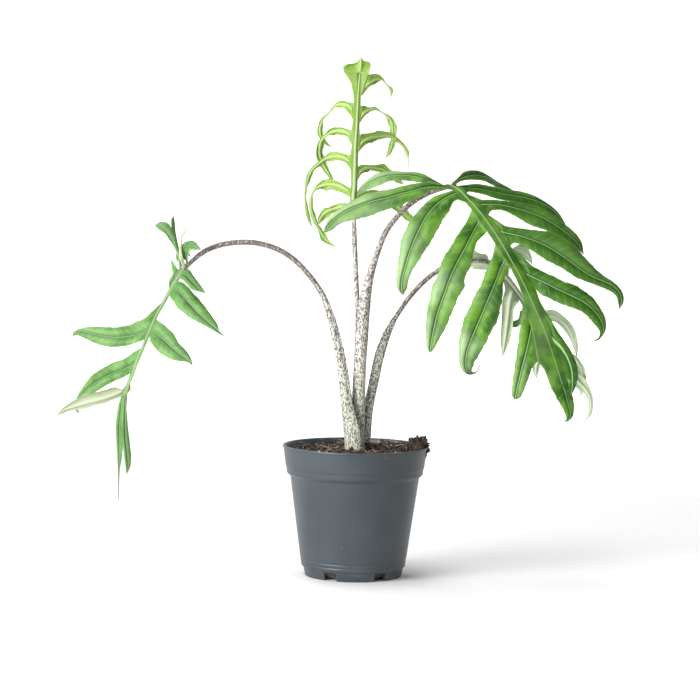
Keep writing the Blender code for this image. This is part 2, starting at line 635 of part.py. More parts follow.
def build_soil(group, material):
    rim = inner_radius(SOIL_TOP - SOIL_LOW) - GAP
    profile = [(rim * share, SOIL_TOP) for share in (0, 0.2, 0.4, 0.6, 0.8, 1)]
    for z in (COLLAR_FOOT_Z + STEP_RISE, WALL_TOP_Z + STEP_RISE, FLOOR_TOP + GAP):
        profile.append((inner_radius(z) - GAP, z + GAP / 2))
    profile.append((0, FLOOR_TOP + GAP * 1.5))
    soil = turned("soil", profile, POT_STEPS, group, material)
    for vertex in soil.data.vertices:
        if vertex.co.z > (SOIL_TOP - 1) * MM:
            vertex.co.z = soil_height(vertex.co.x / MM, vertex.co.y / MM) * MM
    chips = make_collection("soil_chips")
    draw = random.Random(11)
    for i in range(CHIP_COUNT):
        angle = draw.uniform(-1.2, 1.2) if i % 2 else draw.uniform(-math.pi, math.pi)
        radius = draw.uniform(22, 46)
        x, y = radius * math.cos(angle), radius * math.sin(angle)
        bpy.ops.mesh.primitive_cube_add(size=1)
        chip = bpy.context.object
        chip.scale = (draw.uniform(7, 13) * MM, draw.uniform(4, 7) * MM, draw.uniform(3, 5) * MM)
        chip.rotation_euler = Euler((draw.uniform(-0.5, 0.5), draw.uniform(-0.5, 0.5), draw.uniform(0, 3)))
        chip.location = (x * MM, y * MM, (soil_height(x, y) + 0.4) * MM)
        for other in list(chip.users_collection):
            other.objects.unlink(chip)
        chips.objects.link(chip)
    bpy.context.view_layer.update()
    join_collection(soil, chips, "UNION")
    cutters = make_collection("stem_cutters")
    for key, leaf in LEAVES.items():
        rings = petiole_rings(leaf, GAP)[:4]
        rings[0] = [point - np.array((0, 0, HOLE_OVER)) for point in rings[0]]
        mesh = loft("hole_" + key, rings)
        hole = add_object("hole_" + key, mesh, cutters)
        hole.hide_render = True
        hole.display_type = "WIRE"
    room = turned_root("hole_root", GAP, cutters)
    room.hide_render = True
    room.display_type = "WIRE"
    bpy.context.view_layer.update()
    join_collection(soil, cutters, "DIFFERENCE")
    shade_round(soil.data, 50)
    return soil


def root_profile(swell=0.0):
    """Half outline of the rootstock, a stub with a flat top that the stems stand on."""
    profile = [(0, STEM_FOOT + swell), (ROOT_FLAT + swell, STEM_FOOT + swell)]
    for i in range(6):
        turn = math.pi / 2 * i / 6
        radius = (ROOT_RADIUS + swell) * math.cos(turn)
        height = STEM_FOOT - ROOT_FLAT / 4 - (ROOT_HEIGHT - ROOT_FLAT / 4 + swell) * math.sin(turn)
        profile.append((radius, height))
    profile.append((0, STEM_FOOT - ROOT_HEIGHT - swell))
    return profile


def turned_root(name, swell, group, material=None):
    root = turned(name, root_profile(swell), 24, group, material)
    for vertex in root.data.vertices:
        vertex.co += Vector((*ROOT_PLACE, 0)) * MM
    return root


def build_rootstock(group, material):
    root = turned_root("rootstock", 0.0, group, material)
    shade_round(root.data, 50)
    return root


def build_all():
    remove_everything()
    parts = make_collection("potted_alocasia")
    pot_plastic = plain_material("pot_plastic", (0.055, 0.065, 0.075), 0.45)
    soil_brown = plain_material("soil_brown", (0.045, 0.028, 0.018), 0.95)
    root_tan = plain_material("root_tan", (0.25, 0.17, 0.09), 0.8)
    stem_mottle = plain_material("stem_mottle", (0.36, 0.33, 0.27), 0.55)
    greens = {"left": (0.10, 0.26, 0.06), "upright": (0.25, 0.45, 0.05),
              "front": (0.05, 0.24, 0.03), "right": (0.16, 0.30, 0.10)}
    build_pot(parts, pot_plastic)
    build_soil(parts, soil_brown)
    build_rootstock(parts, root_tan)
    for key in LEAVES:
        build_petiole(key, parts, stem_mottle)
        build_blade(key, parts, plain_material("leaf_" + key, greens[key], 0.4))


build_all()
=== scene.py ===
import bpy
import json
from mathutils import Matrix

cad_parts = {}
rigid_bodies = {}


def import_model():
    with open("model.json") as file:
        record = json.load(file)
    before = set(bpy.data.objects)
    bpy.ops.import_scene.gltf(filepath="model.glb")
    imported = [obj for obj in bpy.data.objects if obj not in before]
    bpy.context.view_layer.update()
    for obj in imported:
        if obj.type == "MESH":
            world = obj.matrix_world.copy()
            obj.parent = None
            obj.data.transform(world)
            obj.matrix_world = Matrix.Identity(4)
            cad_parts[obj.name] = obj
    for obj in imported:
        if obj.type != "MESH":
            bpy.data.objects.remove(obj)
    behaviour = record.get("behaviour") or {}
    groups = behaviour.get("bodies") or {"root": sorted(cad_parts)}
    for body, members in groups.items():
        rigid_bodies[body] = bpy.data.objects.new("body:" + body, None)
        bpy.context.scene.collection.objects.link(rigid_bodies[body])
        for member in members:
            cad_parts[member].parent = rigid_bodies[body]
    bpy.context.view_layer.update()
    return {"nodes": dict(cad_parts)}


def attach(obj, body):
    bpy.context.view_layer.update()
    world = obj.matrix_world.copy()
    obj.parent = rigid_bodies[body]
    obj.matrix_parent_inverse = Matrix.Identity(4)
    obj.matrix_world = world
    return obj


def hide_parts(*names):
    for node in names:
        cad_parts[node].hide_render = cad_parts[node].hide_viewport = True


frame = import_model()

import json
import math

import bmesh
import bpy
import numpy as np
from mathutils import Matrix, Vector

mm = 0.001
stage = bpy.context.scene
print("frame loaded")


# Camera, where the photograph was taken from

# metres, degrees and millimetres of lens
cameraLook = dict(distance=2.0, height=0.3352, pitch=4.26, yaw=-0.17, roll=1.10, lens=125.4)


def placeCamera(look):
    pitch, yaw, roll = (math.radians(look[key]) for key in ("pitch", "yaw", "roll"))
    ahead = Vector((math.sin(yaw) * math.cos(pitch), math.cos(yaw) * math.cos(pitch), -math.sin(pitch)))
    level = Vector((math.cos(yaw), -math.sin(yaw), 0))
    above = level.cross(ahead)
    right = math.cos(roll) * level + math.sin(roll) * above
    up = math.cos(roll) * above - math.sin(roll) * level
    camera = bpy.data.objects.new("camera", bpy.data.cameras.new("camera"))
    stage.collection.objects.link(camera)
    camera.data.sensor_width = 36
    camera.data.lens = look["lens"]
    camera.data.clip_end = 40
    place = Matrix((right, up, -ahead)).transposed().to_4x4()
    place.translation = (0, -look["distance"], look["height"])
    camera.matrix_world = place
    stage.camera = camera


placeCamera(cameraLook)


# Small helpers for vectors, paths and meshes

def unit(vector):
    return vector / max(np.linalg.norm(vector), 1e-9)


def smoothstep(value):
    value = min(max(value, 0.0), 1.0)
    return value * value * (3 - 2 * value)


def makePath(points, steps=24):
    # a smooth curve through the points, kept as rows with the length along it
    points = np.array(points, float)
    chord = np.linalg.norm(np.diff(points[:, :3], axis=0), axis=1)
    knots = np.concatenate([[0], np.cumsum(np.sqrt(chord))])
    slopes = np.gradient(points, knots, axis=0)
    rows = [points[0]]
    for i in range(len(points) - 1):
        span = knots[i + 1] - knots[i]
        for k in range(1, steps + 1):
            u = k / steps
            rows.append((1 + 2 * u) * (1 - u) ** 2 * points[i] + u * (1 - u) ** 2 * span * slopes[i]
                        + u * u * (3 - 2 * u) * points[i + 1] + u * u * (u - 1) * span * slopes[i + 1])
    rows = np.array(rows)
    along = np.concatenate([[0], np.cumsum(np.linalg.norm(np.diff(rows[:, :3], axis=0), axis=1))])
    return dict(rows=rows, along=along, length=along[-1], stops=along[::steps])


def pathAt(path, length):
    return np.array([np.interp(length, path["along"], column) for column in path["rows"].T])


def pathHeading(path, length):
    reach = 0.004 * path["length"]
    ahead = pathAt(path, min(length + reach, path["length"]))[:3]
    return unit(ahead - pathAt(path, max(length - reach, 0))[:3])


def facing(hint, heading, previous=None):
    # the direction across the path that lies nearest to the hint, steadied by the previous one
    flat = hint - np.dot(hint, heading) * heading
    if previous is None:
        return unit(flat)
    carried = unit(previous - np.dot(previous, heading) * heading)
    share = smoothstep((np.linalg.norm(flat) / max(np.linalg.norm(hint), 1e-9) - 0.15) / 0.35)
    return unit((1 - share) * carried + share * unit(flat))


def addObject(name, mesh, finishes=()):
    made = bpy.data.objects.new(name, mesh)
    stage.collection.objects.link(made)
    for finish in finishes:
        mesh.materials.append(finish)
    return made


def bakeModifiers(piece):
    graph = bpy.context.evaluated_depsgraph_get()
    mesh = bpy.data.meshes.new_from_object(piece.evaluated_get(graph))
    piece.modifiers.clear()
    piece.data = mesh
    return piece


def meshOf(name, points, faces):
    mesh = bpy.data.meshes.new(name)
    mesh.from_pydata([tuple(float(c) * mm for c in point) for point in points], [], faces)
    mesh.shade_smooth()
    return mesh


def ringFaces(ringCount, sides, closeStart=True, closeEnd=True):
    faces = []
    for i in range(ringCount - 1):
        for k in range(sides):
            a, b = i * sides + k, i * sides + (k + 1) % sides
            faces.append((a, b, b + sides, a + sides))
    if closeStart:
        faces.append(tuple(range(sides))[::-1])
    if closeEnd:
        faces.append(tuple(range((ringCount - 1) * sides, ringCount * sides)))
    return faces


def joinPieces(pieces):
    with bpy.context.temp_override(active_object=pieces[0], selected_editable_objects=pieces):
        bpy.ops.object.join()
    return pieces[0]


def finishPiece(piece, node):
    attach(piece, "root")
    if node:
        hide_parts(node)
    return piece


# Helpers for materials

def addNode(tree, kind, values=None, **settings):
    made = tree.nodes.new(kind)
    for key, value in settings.items():
        setattr(made, key, value)
    for key, value in (values or {}).items():
        if isinstance(value, bpy.types.NodeSocket):
            tree.links.new(value, made.inputs[key])
        else:
            made.inputs[key].default_value = value
    return made


def compute(tree, operation, *values):
    return addNode(tree, "ShaderNodeMath", dict(enumerate(values)), operation=operation).outputs[0]


def remap(tree, value, low, high, toLow=0.0, toHigh=1.0):
    values = {0: value, 1: low, 2: high, 3: toLow, 4: toHigh}
    return addNode(tree, "ShaderNodeMapRange", values, interpolation_type="SMOOTHSTEP").outputs[0]


def blend(tree, factor, first, second, how="MIX"):
    values = {0: factor, 6: first, 7: second}
    return addNode(tree, "ShaderNodeMix", values, data_type="RGBA", blend_type=how).outputs[2]


def patches(tree, where, scale, detail=3.0, roughness=0.5):
    values = {"Vector": where, "Scale": scale, "Detail": detail, "Roughness": roughness}
    return addNode(tree, "ShaderNodeTexNoise", values).outputs["Fac"]


def tint(red, green, blue):
    return (red, green, blue, 1.0)


def newFinish(name, roughness):
    finish = bpy.data.materials.new(name)
    finish.use_nodes = True
    tree = finish.node_tree
    shader = tree.nodes["Principled BSDF"]
    shader.inputs["Roughness"].default_value = roughness
    where = addNode(tree, "ShaderNodeTexCoord").outputs["Object"]
    return finish, tree, shader, where


def addBump(tree, shader, height, distance, strength=1.0):
    bump = addNode(tree, "ShaderNodeBump", {"Height": height, "Distance": distance, "Strength": strength})
    tree.links.new(bump.outputs["Normal"], shader.inputs["Normal"])
    return bump.outputs["Normal"]


# Finishes of the leaves and stems

# Some of these tints are painted light: the pale tint is a painted highlight that is in part the paler colour
# of the lobe tips, the tint laid on the lobes right of the main rib is painted shade, and the dark tint along
# the ribs is painted shade of the rib's groove.
leafLooks = {
    "front": dict(dark=tint(0.021, 0.088, 0.004), light=tint(0.098, 0.245, 0.014),
                  pale=tint(0.35, 0.49, 0.25),
                  margin=tint(0.14, 0.28, 0.04), vein=tint(0.16, 0.33, 0.07), rib=tint(0.32, 0.56, 0.18),
                  grooveShadeTint=tint(0.008, 0.045, 0.004), shadeRightTint=tint(0.020, 0.092, 0.002),
                  glow=tint(0.25, 0.55, 0.05),
                  under=tint(0.20, 0.33, 0.14), underRib=tint(0.40, 0.50, 0.30), stain=tint(0.16, 0.13, 0.13),
                  through=0.14, roughness=0.46, veinGap=7.0, veinLean=0.75, ribWidth=0.5, contrast=1.0),
    "left": dict(dark=tint(0.062, 0.165, 0.032), light=tint(0.135, 0.285, 0.078), pale=tint(0.30, 0.42, 0.23),
                 margin=tint(0.20, 0.33, 0.10), vein=tint(0.22, 0.38, 0.15), rib=tint(0.29, 0.33, 0.22),
                 grooveShadeTint=tint(0.060, 0.165, 0.035), shadeRightTint=tint(0.10, 0.24, 0.06), glow=tint(0.30, 0.55, 0.10),
                 under=tint(0.40, 0.46, 0.29), underRib=tint(0.50, 0.53, 0.40), stain=tint(0.24, 0.23, 0.18),
                 through=0.12, roughness=0.48, veinGap=6.0, veinLean=0.8, ribWidth=0.42, contrast=0.45),
    "upright": dict(dark=tint(0.15, 0.28, 0.05), light=tint(0.26, 0.40, 0.10), pale=tint(0.32, 0.45, 0.16),
                    margin=tint(0.17, 0.29, 0.06), vein=tint(0.31, 0.46, 0.15), rib=tint(0.38, 0.49, 0.22),
                    grooveShadeTint=tint(0.20, 0.36, 0.04), shadeRightTint=tint(0.20, 0.36, 0.06), glow=tint(0.42, 0.68, 0.08),
                    under=tint(0.22, 0.37, 0.06), underRib=tint(0.42, 0.56, 0.19),
                    stain=tint(0.40, 0.48, 0.26),
                    through=0.22, roughness=0.42, veinGap=4.5, veinLean=0.9, ribWidth=0.35, contrast=0.5),
    "right": dict(dark=tint(0.055, 0.14, 0.03), light=tint(0.12, 0.25, 0.07), pale=tint(0.30, 0.42, 0.22),
                  margin=tint(0.22, 0.36, 0.14), vein=tint(0.22, 0.38, 0.16), rib=tint(0.36, 0.46, 0.28),
                  grooveShadeTint=tint(0.05, 0.13, 0.03), shadeRightTint=tint(0.05, 0.13, 0.03), glow=tint(0.30, 0.50, 0.12),
                  under=tint(0.36, 0.45, 0.27), underRib=tint(0.50, 0.56, 0.42), stain=tint(0.36, 0.40, 0.28),
                  through=0.12, roughness=0.45, veinGap=5.5, veinLean=0.8, ribWidth=0.42, contrast=0.7),
}


def leafFinish(name, look, isUnder):
    # leafPlace holds millimetres across from the lobe's rib, millimetres along it, and the share out
    finish, tree, shader, where = newFinish(name, look["roughness"] + (0.12 if isUnder else 0))
    shader.inputs["Specular IOR Level"].default_value = 0.32
    place = addNode(tree, "ShaderNodeAttribute", attribute_name="leafPlace").outputs["Vector"]
    across, along, edge = addNode(tree, "ShaderNodeSeparateXYZ", {0: place}).outputs
    stalk = addNode(tree, "ShaderNodeAttribute", attribute_name="stalk").outputs["Fac"]
    # turned is -1 left of the main rib, 1 right of it and 0 at the tip
    turned = addNode(tree, "ShaderNodeAttribute", attribute_name="turned").outputs["Fac"]
    away = compute(tree, "ABSOLUTE", across)
    cloudy = patches(tree, where, 70, 3)
    grain = patches(tree, where, 900, 2)
    lean = compute(tree, "MULTIPLY_ADD", away, -look["veinLean"], along)
    wander = compute(tree, "MULTIPLY_ADD", cloudy, 3.0, lean)
    swing = compute(tree, "PINGPONG", compute(tree, "DIVIDE", wander, look["veinGap"]), 0.5)
    onLobe = remap(tree, away, 8.4, 8.8, 1.0, 0.0)  # a rib's wings have 9 in place of a distance
    vein = compute(tree, "MULTIPLY", remap(tree, swing, 0.02, 0.13, 1.0, 0.0), onLobe)
    veinHere = compute(tree, "MULTIPLY", vein, remap(tree, edge, 0.75, 1.0, 1.0, 0.0))
    ribHere = remap(tree, away, 0.35 * look["ribWidth"], look["ribWidth"], 1.0, 0.0)
    # painted shade: a dark band along each side of a rib, where the groove next to it lies in shade
    paintedGrooveShade = remap(tree, away, 1.4 * look["ribWidth"], 4.5 * look["ribWidth"], 1.0, 0.0)
    spread = remap(tree, cloudy, 0.36, 0.64)
    broad = patches(tree, where, 26, 2)
    # partly painted highlight: a pale sheen in broad patches, strongest on the lobes left of the main rib and
    # on the side of each lobe with negative across, where the left lamp falls; its growth towards the lobe
    # tips is the leaf's own paler colour there
    outward = remap(tree, along, 20.0, 85.0, 0.0, look["contrast"])
    paleTipsAndSheen = compute(tree, "MULTIPLY", outward, remap(tree, broad, 0.35, 0.6))
    paleTipsAndSheen = compute(tree, "MULTIPLY", paleTipsAndSheen, remap(tree, turned, -1.0, 0.6, 1.0, 0.12))
    paleTipsAndSheen = compute(tree, "MULTIPLY", paleTipsAndSheen, remap(tree, across, -1.0, 2.0, 1.0, 0.45))
    # painted shade: the lobes right of the main rib are darkened, the side turned away from the left lamp
    paintedShadeRight = compute(tree, "MULTIPLY", remap(tree, turned, 0.0, 1.0), 0.65 * look["contrast"])
    if isUnder:
        colour = blend(tree, spread, look["under"], look["underRib"])
        colour = blend(tree, 0.62, colour, look["under"])
        colour = blend(tree, compute(tree, "MULTIPLY", veinHere, 0.5), colour, look["underRib"])
        colour = blend(tree, ribHere, colour, look["underRib"])
    else:
        colour = blend(tree, spread, look["dark"], look["light"])
        # lays the painted shade on the right-hand lobes
        colour = blend(tree, paintedShadeRight, colour, look["shadeRightTint"])
        # lays the pale painted highlight, partly the lobe tips' own colour
        colour = blend(tree, compute(tree, "MULTIPLY", paleTipsAndSheen, 0.75), colour, look["pale"])
        colour = blend(tree, compute(tree, "MULTIPLY", veinHere, 0.3), colour, look["vein"])
        colour = blend(tree, remap(tree, edge, 0.8, 1.0, 0.0, 0.55), colour, look["margin"])
        # lays the painted groove shade along the ribs
        colour = blend(tree, compute(tree, "MULTIPLY", paintedGrooveShade, 0.8), colour, look["grooveShadeTint"])
        colour = blend(tree, compute(tree, "MULTIPLY", ribHere, 0.7), colour, look["rib"])
    stem = look["underRib"] if isUnder else look["rib"]
    stained = compute(tree, "MULTIPLY", remap(tree, along, 4.0, 26.0, 0.8, 0.0), stalk)
    colour = blend(tree, compute(tree, "MULTIPLY", remap(tree, stalk, 0.75, 1.0), 0.85), colour, stem)
    colour = blend(tree, stained, colour, look["stain"])
    tree.links.new(colour, shader.inputs["Base Color"])
    quilt = compute(tree, "MULTIPLY", remap(tree, swing, 0.0, 0.45), remap(tree, away, 1.5, 5.0))
    fine = compute(tree, "MULTIPLY", grain, 0.3)
    height = compute(tree, "MULTIPLY_ADD", quilt, -0.6 if isUnder else 0.6, fine)
    normal = addBump(tree, shader, height, 0.00035, 0.45)
    glow = blend(tree, 0.5, colour, look["glow"])
    through = addNode(tree, "ShaderNodeBsdfTranslucent", {"Color": glow, "Normal": normal})
    mixed = addNode(tree, "ShaderNodeMixShader",
                    {0: look["through"], 1: shader.outputs[0], 2: through.outputs[0]})
    tree.links.new(mixed.outputs[0], tree.nodes["Material Output"].inputs["Surface"])
    return finish


stemLook = dict(pale=tint(0.50, 0.49, 0.43), blush=tint(0.42, 0.32, 0.29), green=tint(0.41, 0.44, 0.34),
                mottle=tint(0.045, 0.036, 0.030), grain=860.0, stretch=0.55, roughness=0.42)
stemTints = {  # how dusky and how densely mottled each one is at its top, and how green low down
    "left": dict(dusk=0.6, dense=0.10, fresh=0.8), "upright": dict(dusk=0.3, dense=0.02, fresh=0.3),
    "front": dict(dusk=0.85, dense=0.045, fresh=0.5), "right": dict(dusk=0.6, dense=0.08, fresh=0.3),
}


def stemFinish(name, look, own):
    # rise is 0 at the soil and 1 where the blade begins
    finish, tree, shader, where = newFinish(name, look["roughness"])
    rise = addNode(tree, "ShaderNodeAttribute", attribute_name="rise").outputs["Fac"]
    mapping = addNode(tree, "ShaderNodeMapping",
                      {"Vector": where, "Scale": (1, 1, look["stretch"])}).outputs[0]
    low = remap(tree, rise, 0.05, 0.45, own["fresh"], 0.0)
    top = remap(tree, rise, 0.35, 0.95, 0.0, own["dusk"])
    cloudy = patches(tree, where, 45)
    ground = blend(tree, low, look["pale"], look["green"])
    blush = compute(tree, "MULTIPLY", top, remap(tree, cloudy, 0.3, 0.6, 0.5, 1.0))
    ground = blend(tree, blush, ground, look["blush"])
    specks = patches(tree, mapping, look["grain"], 2.0, 0.55)
    crowd = compute(tree, "MULTIPLY_ADD", patches(tree, where, 90, 2), 0.06, specks)
    crowd = compute(tree, "MULTIPLY_ADD", remap(tree, rise, 0.3, 0.8), own["dense"], crowd)
    mottle = remap(tree, crowd, 0.505, 0.575)
    colour = blend(tree, compute(tree, "MULTIPLY", mottle, 0.85), ground, look["mottle"])
    tree.links.new(colour, shader.inputs["Base Color"])
    addBump(tree, shader, specks, 0.0002, 0.4)
    return finish


print("finishes ready")


# Leaves: a stem point is (x, y, z, radius), and all lengths are in millimetres

def lobe(place, span, face, points, flare, twist=0.4):
    # place is where its rib leaves the main rib and span what it takes of it, both from 0 to 1;
    # each point is (x, y, z, width to the margin on the tip's side, width on the stem's side);
    # flare is how far along it each margin has left the wing of the main rib,
    # and twist the share of its length in which it turns to its own face
    return dict(place=place, span=span, face=face, points=points, flare=flare, twist=twist)


